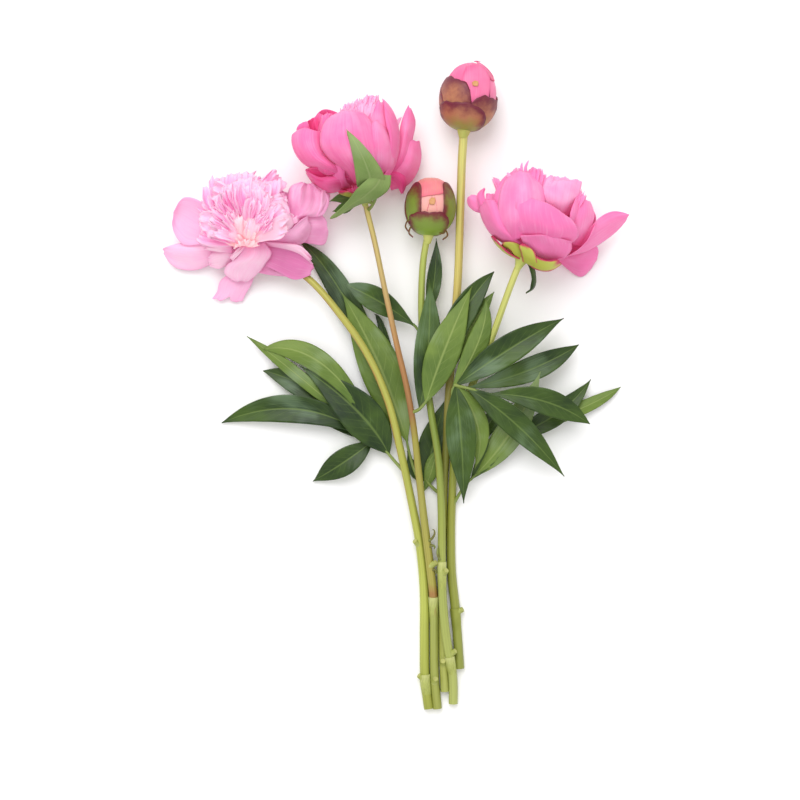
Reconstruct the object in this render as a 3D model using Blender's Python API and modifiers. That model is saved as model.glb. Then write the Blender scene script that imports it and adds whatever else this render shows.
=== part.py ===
"""Five cut peony stems lying together on a table: three open blooms, two buds and their leaves.

The frame is +Z up with the table at z = 0. The cut ends point to -Y and the blooms to +Y, and the
origin is below the middle of the bouquet. Shapes are written in millimetres and built in metres.
"""

import math
import random
from typing import NamedTuple

import bmesh
import bpy
import numpy as np
from mathutils import Vector

MM = 0.001

# Driving dimensions, in millimetres.
STEM_RADIUS_CUT = 2.8
STEM_RADIUS_NECK = 2.45
PETIOLE_RADIUS = 1.1
LEAF_THICKNESS = 0.8
PETAL_THICKNESS = 0.9
SEPAL_THICKNESS = 1.2
CLEARANCE = 0.35
TABLE = 0.0

# How finely the solids are cut.
STEM_STEPS = 14
LEAF_CELLS = (2, 5)
PETAL_CELLS = (3, 3)
GUARD_CELLS = (3, 2)
FRILL_CELLS = (1, 2)
SEPAL_CELLS = (2, 2)
BUD_SEPAL_CELLS = (3, 4)
LEAN_STEPS = 24
GOLDEN_ANGLE = 137.508


class Petal(NamedTuple):
    """One petal or sepal about a flower's axis, with angles in degrees and a lean of 0 along the axis.

    A knee over 1 makes it rise sooner, and straight keeps its middle straighter than its ends.
    """

    azimuth: float
    length: float
    half_width: float
    lean_root: float
    lean_tip: float
    cup_radius: float = 40.0
    knee: float = 1.0
    straight: float = 0.0
    root_radius: float = 3.0
    root_height: float = 0.0
    claw: float = 0.35
    tip_drop: float = 0.3
    notch: float = 0.0
    ruffle: float = 0.0
    waves: float = 3.0
    phase: float = 0.0
    sway: float = 0.0


class Leaflet(NamedTuple):
    """One leaf blade: its midrib through three points, its half width, and which face looks up."""

    base: tuple
    middle: tuple
    tip: tuple
    half_width: float
    underside_up: bool = False
    belly: float = 0.42
    fold: float = 14.0
    wave: float = 0.5


class Flower(NamedTuple):
    """Where a bloom sits: the top of its stem, the way it faces, and its solid core."""

    seat: tuple
    axis: tuple
    core_radius: float
    core_height: float
    core_middle: float


STEMS = {
    "stem_pale_bloom": [
        (22.9, -224, 2.4), (20.3, -204, 2.4), (19.8, -176, 2.4), (19.6, -141, 3.4), (16.6, -110, 5.0),
        (10.5, -78, 8.0), (3, -43, 11.0), (-6, -8, 13.0), (-22, 27, 14.0), (-39, 51, 14.0),
        (-60, 75, 13.0), (-78, 88, 11.6), (-90, 94.5, 10.2), (-96, 97.5, 11.6),
    ],
    "stem_deep_bloom": [
        (28.9, -224, 2.4), (27.0, -204, 2.4), (26.6, -176, 3.2), (26.3, -148, 6.0), (24, -127, 7.6),
        (19.5, -92, 10.0), (15.5, -57, 12.5), (12, -26, 14.5), (8.5, -5, 16.0), (0.5, 30, 18.0),
        (-8, 69, 20.0), (-15.5, 104, 23.5), (-20, 122, 26.2), (-21.8, 130.5, 27.2),
    ],
    "stem_green_bud": [
        (39.9, -220.5, 2.4), (39.9, -208, 3.2), (38.9, -195, 5.4), (36.5, -183, 7.6), (34.5, -170, 8.8),
        (32.5, -148, 8.8), (31.8, -120, 8.8), (31.5, -85, 9.0), (29.5, -50, 9.5), (24, -15, 10.5),
        (19.5, 20, 12.0), (17.5, 61.5, 13.5), (19.5, 93, 15.5), (21.8, 105, 16.9),
    ],
    "stem_tall_bud": [
        (34.2, -212, 2.4), (33.2, -190, 2.4), (32.9, -176, 2.4), (32, -148, 2.4), (32, -120, 2.4),
        (32.9, -85, 2.4), (33.5, -64, 3.2), (35, -43, 4.2), (36.5, -8, 6.2), (39, 27, 8.5),
        (42.5, 69, 11.5), (44.5, 125, 15.6), (45.8, 163, 18.4), (46.8, 177.5, 19.8),
    ],
    "stem_half_bloom": [
        (44.4, -196, 2.4), (43.0, -176, 2.4), (41.2, -152.5, 2.4), (38.9, -131, 2.4), (38.3, -106, 2.4),
        (39, -78, 3.2), (40.8, -47, 5.5), (46, -15, 9.0), (57.5, 12.5, 14.0), (67, 37, 20.0),
        (76, 63, 27.0), (81.5, 78, 31.5), (84.8, 86, 33.4),
    ],
}

# Cut leaf stubs on the lower stems: a point on the stem, and the way the stub leans.
STUBS = {
    "stem_pale_bloom": [((20.3, -204, 2.8), (-0.75, 0.6, 0.3)), ((16.6, -110, 5.0), (-0.6, 0.6, 0.5))],
    "stem_deep_bloom": [((27.0, -206, 2.8), (0.1, 0.6, 0.8)), ((23.6, -124, 7.8), (0.7, 0.5, 0.7))],
    "stem_green_bud": [((36.9, -186, 7.0), (0.75, 0.55, 0.35)), ((32.0, -130, 8.8), (0.5, 0.6, 0.7))],
    "stem_tall_bud": [((33.3, -193, 2.8), (-0.1, 0.5, 0.85))],
    "stem_half_bloom": [((41.5, -157, 2.8), (0.85, 0.45, 0.3))],
}

# Each compound leaf: the stem that it grows on, its stalk from that stem, and its leaflets.
LEAVES = {
    "leaf_left_fan": (
        "stem_pale_bloom",
        [[(5.5, -58, 9.6), (0, -52, 8.2), (-8, -43, 6.6), (-18, -35, 5.6)]],
        [
            Leaflet((-17, -36, 6), (-67, -15, 9), (-122, -24.5, 1.6), 9.8, belly=0.55),
            Leaflet((-17, -34, 5), (-57, -3, 5), (-93, 12, 3), 9.0, belly=0.55),
            Leaflet((-27, -20, 9.5), (-68, 8.5, 10), (-104, 36, 5), 4.6, underside_up=True, belly=0.5),
            Leaflet((-9, -42, 7), (-48, 14, 13.5), (-92, 27, 8.5), 8.2, underside_up=True, belly=0.62),
            Leaflet((-5, -46, 7.5), (-28, -15, 10.5), (-67, 15.5, 9), 14.0, belly=0.42),
            Leaflet((-17, -38, 4.5), (-36, -28, 2.8), (-62, -20, 1.6), 3.6),
            Leaflet((-15, -37, 5), (-36, -51.5, 8.5), (-58, -65, 1.6), 9.2, belly=0.5, wave=1.4),
        ],
    ),
    "leaf_long_left": (
        "stem_deep_bloom",
        [[(15, -62, 12), (12.5, -56, 8.5), (9.5, -46, 7.0), (7, -34, 6.2)]],
        [
            Leaflet((7, -36, 6), (-13, 19, 7.5), (-38, 66.5, 7), 14.5, underside_up=True, belly=0.42),
            Leaflet((-1, 4, 5.5), (-34, 59, 4.5), (-68, 103, 3), 8.5, belly=0.5),
            Leaflet((1, 2, 5.5), (-7, 31.5, 5.2), (-15, 51, 3), 3.2),
        ],
    ),
    "leaf_upper_mid": (
        "stem_green_bud",
        [[(18.2, 34, 12.2), (16.5, 38.5, 9.5), (12, 44.5, 9.2)]],
        [Leaflet((14, 43.5, 9.3), (-10, 59, 12), (-35, 72, 11.5), 8.5, belly=0.58)],
    ),
    "leaf_mid_fan": (
        "stem_deep_bloom",
        [[(11, -17, 15.4), (15, -15.5, 17.0), (20, -10.5, 17.8), (24, -4, 18.2)]],
        [
            Leaflet((16, -15, 17.2), (22.5, 32, 19.5), (23, 75, 20), 9.3, belly=0.42),
            Leaflet((20.5, -10, 18), (35, 30, 21.5), (52.5, 70, 18.5), 11.5, underside_up=True, belly=0.42),
            Leaflet((20, -10, 17.6), (42, 44, 17.2), (68, 80.5, 15), 9.0, belly=0.55),
            Leaflet((30, 12, 17.2), (53, 44, 15.6), (68, 66.5, 14), 6.0, underside_up=True),
        ],
    ),
    "leaf_right_fan": (
        "stem_half_bloom",
        [
            [(42.3, -40, 6.6), (41.5, -36, 11.5), (40.5, -18, 19), (41, 1.5, 22), (45, 3, 22)],
            [(40, 2, 22), (52, -1, 23), (67, -5, 24)],
        ],
        [
            Leaflet((41, 1, 22), (80, 28, 26), (116, 48, 17), 10.0, belly=0.45),
            Leaflet((40, 0, 21.5), (57.5, 34, 23.0), (62, 62, 20.5), 7.4, underside_up=True),
            Leaflet((48, 0, 22), (91, 12, 16.5), (127, 30, 10), 8.5, belly=0.55),
            Leaflet((64, -4.5, 24), (101, -9, 26), (134, -25, 17), 9.0, belly=0.55),
            Leaflet((50, -1, 23), (82.5, -25, 23.5), (117, -61.5, 9), 9.0, belly=0.48),
            Leaflet((41, 2, 22), (45, -36, 21.5), (47, -80, 11), 10.3, belly=0.45),
            Leaflet((42, 1, 21.5), (57, -28, 18.5), (54.5, -56, 13), 7.6, underside_up=True),
        ],
    ),
    "leaf_low_right": (
        "stem_half_bloom",
        [[(39.5, -82, 3.6), (43, -76, 4.6), (48, -68, 5.8), (56, -60, 7.0)]],
        [
            Leaflet((54, -62, 7), (81, -28, 14.5), (99.5, 11, 21), 10.0, underside_up=True, belly=0.45),
            Leaflet((53, -62.5, 6.6), (67, -44, 8.5), (80, -28, 9), 6.0),
        ],
    ),
    "leaf_far_right": (
        "stem_half_bloom",
        [[(41, -46, 5.6), (48, -43, 4.2), (60, -37.5, 3.6), (76, -34.5, 4.2)]],
        [
            Leaflet((72, -35.5, 4.2), (109, -20, 7.5), (136, 6, 4), 7.6, belly=0.5),
            Leaflet((73, -35, 4), (125, -16, 5.5), (157, 0.7, 2.4), 4.8, underside_up=True, belly=0.55),
            Leaflet((58, -38.5, 3.8), (67, -22, 8.5), (82, -10, 9.5), 6.0),
        ],
    ),
    "leaf_low_centre": (
        "stem_tall_bud",
        [[(32, -75, 3.0), (26, -70, 2.9), (20.5, -63, 2.8), (23.5, -52, 3.4), (28, -44, 4.4)]],
        [
            Leaflet((20.5, -63, 2.6), (26.6, -36.4, 1.1), (35, -7, 1.6), 10.0, fold=4, wave=0.2),
            Leaflet((28, -44, 4.4), (25, -57, 4.2), (19, -73.5, 2.4), 5.4, underside_up=True, fold=8),
            Leaflet((20.5, -63, 2.8), (13, -57, 3.6), (8, -44, 4.0), 4.4),
        ],
    ),
    "leaf_bud_bract": (
        "stem_green_bud",
        [[(17.8, 46, 12.4), (20.5, 48.5, 9.6), (24, 54, 9.2)]],
        [Leaflet((22.5, 51, 9.3), (27, 79, 9.4), (28, 104, 8), 5.2)],
    ),
    "leaf_bloom_bract": (
        "stem_deep_bloom",
        [
            [(-17.5, 118, 26), (-11, 121, 30), (-4, 127, 38), (-3, 133, 49), (-5, 136, 57)],
            [(-8, 123, 33), (-16, 126, 38), (-24, 126, 35), (-30, 125, 30)],
        ],
        [
            Leaflet((-5, 136, 57), (-18, 152, 66), (-32.5, 171.5, 66), 10.5, underside_up=True, belly=0.3),
            Leaflet((-8, 123, 33), (-25, 125, 42), (-42, 117, 29), 6.0, underside_up=True, belly=0.4),
            Leaflet((-28, 125.5, 31), (-36, 123, 27), (-43.5, 121, 26), 3.8),
            Leaflet((-26, 126, 34), (-35, 130, 27), (-46, 128, 23), 4.0),
        ],
    ),
}

FLOWERS = {
    "pale_bloom": Flower((-98, 101, 16.5), (-0.10, 0.41, 0.91), 21.0, 16.0, 15.4),
    "deep_bloom": Flower((-22.5, 134.5, 27.8), (-0.15, 0.98, 0.09), 20.0, 16.0, 15.4),
    "half_bloom": Flower((86.5, 90.0, 34), (0.37, 0.925, 0.08), 22.0, 16.0, 15.4),
    "green_bud": Flower((22.6, 109.5, 17.4), (0.08, 0.99, 0.0), 11.5, 14.0, 13.4),
    "tall_bud": Flower((47.4, 182, 20.4), (0.14, 0.985, 0.02), 14.5, 18.0, 17.0),
}

STEM_OF = {name: "stem_" + name for name in FLOWERS}


def frill(count, seed, lean_out, length, half_width, root_radius, turn_in=0.5):
    """Narrow inner petals on a golden-angle spiral, upright at the middle and leaning at the rim."""
    draw = random.Random(seed)
    petals = []
    for index in range(count):
        share = (index + 0.5) / count
        lean = lean_out * share**0.6
        petals.append(
            Petal(
                azimuth=GOLDEN_ANGLE * index + draw.uniform(-9, 9),
                length=length * draw.uniform(0.88, 1.08),
                half_width=half_width * draw.uniform(0.8, 1.2),
                lean_root=lean + draw.uniform(-4, 4),
                lean_tip=lean * turn_in + draw.uniform(-10, 10),
                cup_radius=draw.uniform(8, 15),
                root_radius=root_radius * math.sqrt(share),
                claw=0.45,
                tip_drop=0.22,
                ruffle=draw.uniform(0.8, 1.8),
                phase=draw.uniform(0, 6),
            )
        )
    return petals


def ring(count, start, petal, seed, spread=5.0):
    """Copies of one petal spaced evenly round the axis, each a little different."""
    draw = random.Random(seed)
    return [
        petal._replace(
            azimuth=start + 360 / count * index + draw.uniform(-spread, spread),
            length=petal.length * draw.uniform(0.97, 1.03),
            half_width=petal.half_width * draw.uniform(0.94, 1.04),
            phase=draw.uniform(0, 6),
        )
        for index in range(count)
    ]


def nested(petal, depth, **changes):
    """The same cupped petal, this far inside the layer that it is written for."""
    bend = math.radians(petal.lean_root - petal.lean_tip)
    shorter = petal.length - depth * bend
    inner = petal._replace(length=shorter, root_height=petal.root_height + depth)
    return inner._replace(**changes)


def pale_bloom_petals():
    """The fully open bloom: spread guard petals round a dome of narrow frilled ones."""
    guards = [
        Petal(163, 60, 19, 78, 56, 27, claw=0.3),
        Petal(188, 66, 15, 88, 110, 60, tip_drop=0.45),
        Petal(213, 42, 10, 82, 104, 40),
        Petal(251, 37, 14, 78, 112, 30),
        Petal(243, 53, 14, 90, 132, 50, notch=0.16),
        Petal(320, 50, 19, 90, 106, 50),
        Petal(352, 44, 13, 80, 62, 22),
        Petal(8, 60, 15, 88, 76, 34),
        Petal(36, 58, 19, 80, 56, 30, ruffle=2.4),
        Petal(80, 50, 21, 84, 60, 32),
        Petal(126, 52, 22, 84, 60, 32),
        Petal(22, 38, 13, 62, 30, 18),
        Petal(168, 35, 11, 70, 44, 16),
    ]
    return guards, frill(13, 11, 66, 41, 8.0, 9.0, turn_in=0.35)


def deep_bloom_petals():
    """A round half-open bloom on its side: two cupped layers, with loose petals to both sides."""
    cup = Petal(0, 76, 23, 90, -34, 30, knee=1.3, straight=0.3, claw=0.3, tip_drop=0.2)
    cups = [
        nested(cup, 0, azimuth=259, half_width=22),
        nested(cup, 0, azimuth=10, half_width=22),
        nested(cup, 0, azimuth=140),
        nested(cup, 3.4, azimuth=312),
        nested(cup, 3.4, azimuth=76),
        nested(cup, 3.4, azimuth=200),
    ]
    loose = [
        Petal(206, 70, 19, 90, -15, 24, claw=0.35, tip_drop=0.2),
        Petal(231, 48, 15, 92, 44, 17, claw=0.4),
        Petal(345, 72, 10, 90, 2, 26, knee=1.6, claw=0.4, tip_drop=0.45),
        Petal(333, 53, 13, 92, 25, 22, claw=0.4, tip_drop=0.45),
    ]
    return cups + loose, frill(5, 23, 20, 68, 11.5, 10.0, turn_in=1.2)


def half_bloom_petals():
    """A half-open bloom on its side, with one long petal and one lying petal to the right."""
    cup = Petal(0, 84, 27, 92, -38, 36, knee=1.1, claw=0.3, tip_drop=0.2)
    cups = [
        nested(cup, 0, azimuth=288, half_width=28, length=66, lean_tip=-8),
        nested(cup, 0, azimuth=14, length=70, lean_tip=-16),
        nested(cup, 5.0, azimuth=136),
        nested(cup, 3.4, azimuth=234),
        nested(cup, 7.0, azimuth=76),
        nested(cup, 3.4, azimuth=334, half_width=24),
    ]
    loose = [
        Petal(194, 74, 18, 92, -14, 26, claw=0.3, tip_drop=0.2),
        Petal(340, 84, 12, 74, 30, 22, knee=1.4, straight=0.4, claw=0.5, tip_drop=0.45),
        Petal(358, 50, 17, 92, 66, 50, claw=0.4),
        Petal(187, 62, 6, 90, 35, 12, claw=0.4),
    ]
    return cups + loose, frill(5, 37, 26, 66, 11.5, 12.0, turn_in=1.2)


def green_bud_petals():
    """A closed bud: petals wrapped over its tip, the lower ends of them in its core."""
    wrap = Petal(0, 38, 15, 48, -82, 14.2, root_radius=7.8, root_height=6.5, claw=0.7)
    return [wrap._replace(azimuth=262), wrap._replace(azimuth=22), wrap._replace(azimuth=142)], []


def tall_bud_petals():
    """The larger bud, wrapped in the same way."""
    wrap = Petal(0, 46, 18, 50, -82, 17.6, root_radius=9.4, root_height=7.0, claw=0.7)
    return [wrap._replace(azimuth=236), wrap._replace(azimuth=356), wrap._replace(azimuth=116)], []


PETALS = {
    "pale_bloom": pale_bloom_petals,
    "deep_bloom": deep_bloom_petals,
    "half_bloom": half_bloom_petals,
    "green_bud": green_bud_petals,
    "tall_bud": tall_bud_petals,
}

# The sepals under each flower, which grow from the top of its stem.
SEPAL = Petal(0, 26, 9.5, 98, 66, 26, root_radius=1.2, root_height=-3.0, claw=0.5)
BUD_SEPAL = SEPAL._replace(
    length=46, half_width=12, lean_root=92, lean_tip=-50, cup_radius=17, knee=1.2, straight=0.3
)
SHORT_SEPAL = BUD_SEPAL._replace(length=32, half_width=13, lean_tip=-10, knee=1.4, straight=0.0)
SEPALS = {
    "pale_bloom": ring(5, 20, SEPAL._replace(length=20, half_width=8, lean_tip=100), 51),
    "deep_bloom": ring(5, 0, SEPAL._replace(length=20), 53),
    "half_bloom": ring(5, 12, SEPAL._replace(length=29, lean_root=100), 55),
    "green_bud": [
        BUD_SEPAL._replace(azimuth=184),
        BUD_SEPAL._replace(azimuth=356),
        SHORT_SEPAL._replace(azimuth=270, length=27),
        BUD_SEPAL._replace(azimuth=90, length=42),
    ],
    "tall_bud": [
        BUD_SEPAL._replace(azimuth=208, length=44, half_width=14, lean_tip=-30, cup_radius=20),
        SHORT_SEPAL._replace(azimuth=270, length=31, half_width=14, lean_tip=4, cup_radius=20),
        BUD_SEPAL._replace(azimuth=330, length=38, half_width=13, lean_tip=-20, cup_radius=20),
        BUD_SEPAL._replace(azimuth=94, length=44, half_width=17, lean_tip=-36, cup_radius=20),
    ],
}

FINISHES = {
    "stem": ((0.33, 0.40, 0.09), 0.5),
    "leaf": ((0.07, 0.19, 0.05), 0.4),
    "pale_bloom": ((0.90, 0.55, 0.72), 0.6),
    "deep_bloom": ((0.86, 0.20, 0.48), 0.55),
    "half_bloom": ((0.90, 0.33, 0.60), 0.55),
    "green_bud": ((0.80, 0.30, 0.42), 0.55),
    "tall_bud": ((0.82, 0.22, 0.45), 0.55),
}


def clear_scene():
    for old in list(bpy.data.objects):
        bpy.data.objects.remove(old)


def make_collection(name):
    made = bpy.data.collections.new(name)
    bpy.context.scene.collection.children.link(made)
    return made


def make_finish(name):
    colour, roughness = FINISHES[name]
    material = bpy.data.materials.new(name + "_finish")
    material.use_nodes = True
    shader = material.node_tree.nodes["Principled BSDF"]
    shader.inputs["Base Color"].default_value = (*colour, 1)
    shader.inputs["Roughness"].default_value = roughness
    shader.inputs["Metallic"].default_value = 0
    return material


def flower_frame(flower):
    """Turns flower coordinates (axis along +Z) into the bouquet's, in millimetres."""
    turn = Vector((0, 0, 1)).rotation_difference(Vector(flower.axis).normalized())
    matrix = turn.to_matrix().to_4x4()
    matrix.translation = Vector(flower.seat)
    return np.array(matrix)


def petal_surface(petal, across, along):
    """Points of a petal's surface in flower coordinates. across runs -1 to 1 and along 0 to 1."""
    share = np.linspace(0, 1, LEAN_STEPS + 1)
    fall = 1 - 2 * share
    left = (1 + (1 - petal.straight) * fall + petal.straight * fall**3) / 2
    lean = np.radians(petal.lean_tip + (petal.lean_root - petal.lean_tip) * left**petal.knee)
    middle = (lean[1:] + lean[:-1]) / 2
    step = petal.length / LEAN_STEPS
    radius = petal.root_radius + np.concatenate([[0], np.cumsum(np.sin(middle)) * step])
    height = petal.root_height + np.concatenate([[0], np.cumsum(np.cos(middle)) * step])

    edge = petal.tip_drop * np.abs(across) ** 2.4 + petal.notch * np.exp(-((across / 0.2) ** 2))
    reach = along * (1 - edge)
    here = np.interp(reach, share, lean)
    widening = np.sin(math.pi / 2 * np.minimum(reach / 0.72, 1)) ** 0.9
    side = across * petal.half_width * (petal.claw + (1 - petal.claw) * widening)
    sideways = petal.cup_radius * np.sin(side / petal.cup_radius)
    inward = petal.cup_radius * (1 - np.cos(side / petal.cup_radius))
    wave = np.sin(petal.waves * across + petal.phase) + 0.5 * np.sin(2.7 * petal.waves * across)
    inward = inward + petal.ruffle * reach**2 * wave

    outward = np.interp(reach, share, radius) - np.cos(here) * inward
    upward = np.interp(reach, share, height) + np.sin(here) * inward
    turn = math.radians(petal.azimuth)
    x = outward * math.cos(turn) - sideways * math.sin(turn)
    y = outward * math.sin(turn) + sideways * math.cos(turn)
    return np.stack([x, y, upward], axis=1)


def leaflet_surface(leaflet, across, along):
    """Points of a leaflet in bouquet coordinates: a pointed blade along a curved midrib."""
    base, middle, tip = (np.array(point, float) for point in leaflet[:3])
    bend = 2 * middle - (base + tip) / 2
    t = along[:, None]
    rib = (1 - t) ** 2 * base + 2 * t * (1 - t) * bend + t**2 * tip
    run = 2 * (1 - t) * (bend - base) + 2 * t * (tip - bend)
    run = run / np.linalg.norm(run, axis=1)[:, None]
    right = np.cross(run, (0, 0, 1))
    right = right / np.linalg.norm(right, axis=1)[:, None]
    face = np.cross(right, run)

    rise, fall = leaflet.belly * 2.4, (1 - leaflet.belly) * 2.4
    peak = leaflet.belly**rise * (1 - leaflet.belly) ** fall
    blade = np.maximum(along, 1e-6) ** rise * np.maximum(1 - along, 1e-6) ** fall / peak
    half = np.maximum(leaflet.half_width * blade, np.where(along < 0.5, 0.8, 0.4))
    side = across * half
    fold = math.tan(math.radians(leaflet.fold)) * (-1 if leaflet.underside_up else 1)
    lift = np.abs(side) * fold + leaflet.wave * np.abs(across) * np.sin(9 * along + 2 * np.sign(across))
    return rib + right * side[:, None] + face * lift[:, None]


def shaped_sheet(name, cells, surface, thickness):
    """A thick sheet on a grid of cells, whose points are moved onto a surface."""
    sheet = bmesh.new()
    bmesh.ops.create_grid(sheet, x_segments=cells[0], y_segments=cells[1], size=1)
    bmesh.ops.triangulate(sheet, faces=sheet.faces[:])
    flat = np.array([vertex.co for vertex in sheet.verts])
    for vertex, place in zip(sheet.verts, surface(flat[:, 0], (flat[:, 1] + 1) / 2)):
        vertex.co = Vector(place) * MM
    bmesh.ops.recalc_face_normals(sheet, faces=sheet.faces[:])
    mesh = bpy.data.meshes.new(name)
    sheet.to_mesh(mesh)
    sheet.free()
    made = bpy.data.objects.new(name, mesh)
    thick = made.modifiers.new("thickness", "SOLIDIFY")
    thick.thickness = thickness * MM
    thick.offset = 0
    return made


def pressed_to_table(points, thickness):
    """Bends what would reach under the table so that it lies on it."""
    low = TABLE + thickness / 2
    above = points[:, 2] - low
    points[:, 2] = low + np.where(above > 12, above, np.logaddexp(0, np.minimum(above, 12) / 0.8) * 0.8)
    return points


def petal_object(name, flower, petal, cells, thickness):
    frame = flower_frame(flower)

    def surface(across, along):
        local = petal_surface(petal, across, along)
        return pressed_to_table(local @ frame[:3, :3].T + frame[:3, 3], thickness)

    return shaped_sheet(name, cells, surface, thickness)


def smooth_route(points, steps):
    """Points evenly along a smooth curve through the given ones."""
    points = np.array(points, float)
    run = np.concatenate([[0], np.cumsum(np.linalg.norm(np.diff(points, axis=0), axis=1))])
    slopes = np.gradient(points, run, axis=0)
    at = np.linspace(0, run[-1], steps + 1)
    index = np.clip(np.searchsorted(run, at, side="right") - 1, 0, len(points) - 2)
    gap = (run[index + 1] - run[index])[:, None]
    t = (at - run[index])[:, None] / gap
    near, far = points[index], points[index + 1]
    return (
        (2 * t**3 - 3 * t**2 + 1) * near
        + (t**3 - 2 * t**2 + t) * gap * slopes[index]
        + (3 * t**2 - 2 * t**3) * far
        + (t**3 - t**2) * gap * slopes[index + 1]
    )


def tube(name, points, radii, steps, sides=6):
    """A round stalk along a smooth route, as a closed mesh."""
    route = smooth_route(points, steps)
    curve = bpy.data.curves.new(name, "CURVE")
    curve.dimensions = "3D"
    curve.bevel_depth = MM
    curve.bevel_resolution = (sides - 4) // 2
    curve.use_fill_caps = True
    line = curve.splines.new("POLY")
    line.points.add(len(route) - 1)
    for index, (point, place) in enumerate(zip(line.points, route)):
        share = index / (len(route) - 1)
        point.co = (*(Vector(place) * MM), 1)
        point.radius = radii[0] + (radii[1] - radii[0]) * share
    guide = bpy.data.objects.new(name + "_guide", curve)
    bpy.context.scene.collection.objects.link(guide)
    bpy.context.view_layer.update()
    graph = bpy.context.evaluated_depsgraph_get()
    mesh = bpy.data.meshes.new_from_object(guide.evaluated_get(graph))
    bpy.data.objects.remove(guide)
    bpy.data.curves.remove(curve)
    weld = bmesh.new()
    weld.from_mesh(mesh)
    bmesh.ops.remove_doubles(weld, verts=weld.verts[:], dist=0.01 * MM)
    weld.to_mesh(mesh)
    weld.free()
    return bpy.data.objects.new(name, mesh)


def ball(name, flower):
    """The solid heart of a flower, which its petals stand out of."""
    frame = flower_frame(flower)
    heart = bmesh.new()
    bmesh.ops.create_uvsphere(heart, u_segments=8, v_segments=4, radius=1)
    for vertex in heart.verts:
        rise = vertex.co.z if vertex.co.z > 0 else -math.sqrt(-vertex.co.z)
        across = np.array(vertex.co.xy) * flower.core_radius
        local = np.array([*across, rise * flower.core_height + flower.core_middle])
        vertex.co = Vector(frame[:3, :3] @ local + frame[:3, 3]) * MM
    mesh = bpy.data.meshes.new(name)
    heart.to_mesh(mesh)
    heart.free()
    return bpy.data.objects.new(name, mesh)


def keep_outer_body(mesh):
    """Keeps a mesh's largest shell, which fills sealed hollows and drops loose scraps."""
    work = bmesh.new()
    work.from_mesh(mesh)
    work.faces.ensure_lookup_table()
    left, shells = set(work.faces), []
    while left:
        front = [left.pop()]
        shell = list(front)
        while front:
            face = front.pop()
            near = {other for edge in face.edges for other in edge.link_faces} & left
            left -= near
            front.extend(near)
            shell.extend(near)
        shells.append(shell)
    shells.sort(key=len)
    spare = [face for shell in shells[:-1] for face in shell]
    bmesh.ops.delete(work, geom=spare, context="FACES")
    work.to_mesh(mesh)
    work.free()


def combine(target, others, operation):
    """Joins the others to the target, or cuts them from it, in one Boolean, then removes them."""
    operands = make_collection(target.name + "_operands")
    for other in others:
        operands.objects.link(other)
    bpy.context.scene.collection.objects.link(target)
    join = target.modifiers.new("combine", "BOOLEAN")
    join.operation = operation
    join.operand_type = "COLLECTION"
    join.collection = operands
    join.solver = "MANIFOLD"
    bpy.context.view_layer.update()
    graph = bpy.context.evaluated_depsgraph_get()
    mesh = bpy.data.meshes.new_from_object(target.evaluated_get(graph))
    bpy.context.scene.collection.objects.unlink(target)
    target.modifiers.clear()
    target.data = mesh
    for other in others:
        bpy.data.objects.remove(other)
    bpy.data.collections.remove(operands)
    keep_outer_body(mesh)
    return target


def flatten_below_table(thing):
    """Cuts off what would reach under the table, which leaves a flat where the piece rests."""
    mesh = thing.data
    if min(vertex.co.z for vertex in mesh.vertices) >= TABLE:
        return thing
    work = bmesh.new()
    work.from_mesh(mesh)
    everything = work.verts[:] + work.edges[:] + work.faces[:]
    cut = bmesh.ops.bisect_plane(
        work, geom=everything, plane_co=(0, 0, TABLE), plane_no=(0, 0, -1), clear_outer=True, dist=1e-7
    )
    rim = [item for item in cut["geom_cut"] if isinstance(item, bmesh.types.BMEdge)]
    bmesh.ops.holes_fill(work, edges=rim)
    bmesh.ops.triangulate(work, faces=work.faces[:])
    work.to_mesh(mesh)
    work.free()
    keep_outer_body(mesh)
    return thing


def green_body(name, grown=0.0):
    """A stem with its leaf stubs and its flower's sepals, made thicker all round by grown."""
    flower_name = name.removeprefix("stem_")
    radii = (STEM_RADIUS_CUT + grown, STEM_RADIUS_NECK + grown)
    stem = tube(name, STEMS[name], radii, STEM_STEPS)
    grown_on = []
    for index, (root, lean) in enumerate(STUBS[name]):
        far = tuple(np.array(root) + np.array(lean) * (5.2 + grown))
        stub = tube(f"{name}_stub_{index}", [root, far], (2.3 + grown, 1.5 + grown), 1)
        grown_on.append(stub)
    flower = FLOWERS[flower_name]
    frame = flower_frame(flower)
    neck = [tuple(frame[:3, :3] @ np.array([0, 0, height]) + frame[:3, 3]) for height in (-7, -4, -1.4)]
    grown_on.append(tube(name + "_neck", neck, (2.8 + grown, 5.0 + grown), 2))
    for index, sepal in enumerate(SEPALS[flower_name]):
        bigger = sepal._replace(length=sepal.length + grown, half_width=sepal.half_width + grown)
        thickness = SEPAL_THICKNESS + 2 * grown
        cells = BUD_SEPAL_CELLS if flower_name.endswith("bud") else SEPAL_CELLS
        grown_on.append(petal_object(f"{name}_sepal_{index}", flower, bigger, cells, thickness))
    return combine(stem, grown_on, "UNION")


def flower_head(name):
    """A bloom or bud: its heart and petals in one body, cut clear of its sepals and stem."""
    flower = FLOWERS[name]
    broad, narrow = PETALS[name]()
    cells = GUARD_CELLS if name == "pale_bloom" else PETAL_CELLS
    petals = [
        petal_object(f"{name}_petal_{index}", flower, petal, cells, PETAL_THICKNESS)
        for index, petal in enumerate(broad)
    ]
    petals += [
        petal_object(f"{name}_frill_{index}", flower, petal, FRILL_CELLS, PETAL_THICKNESS)
        for index, petal in enumerate(narrow)
    ]
    head = combine(ball(name, flower), petals, "UNION")
    return combine(head, [green_body(STEM_OF[name], CLEARANCE)], "DIFFERENCE")


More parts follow.
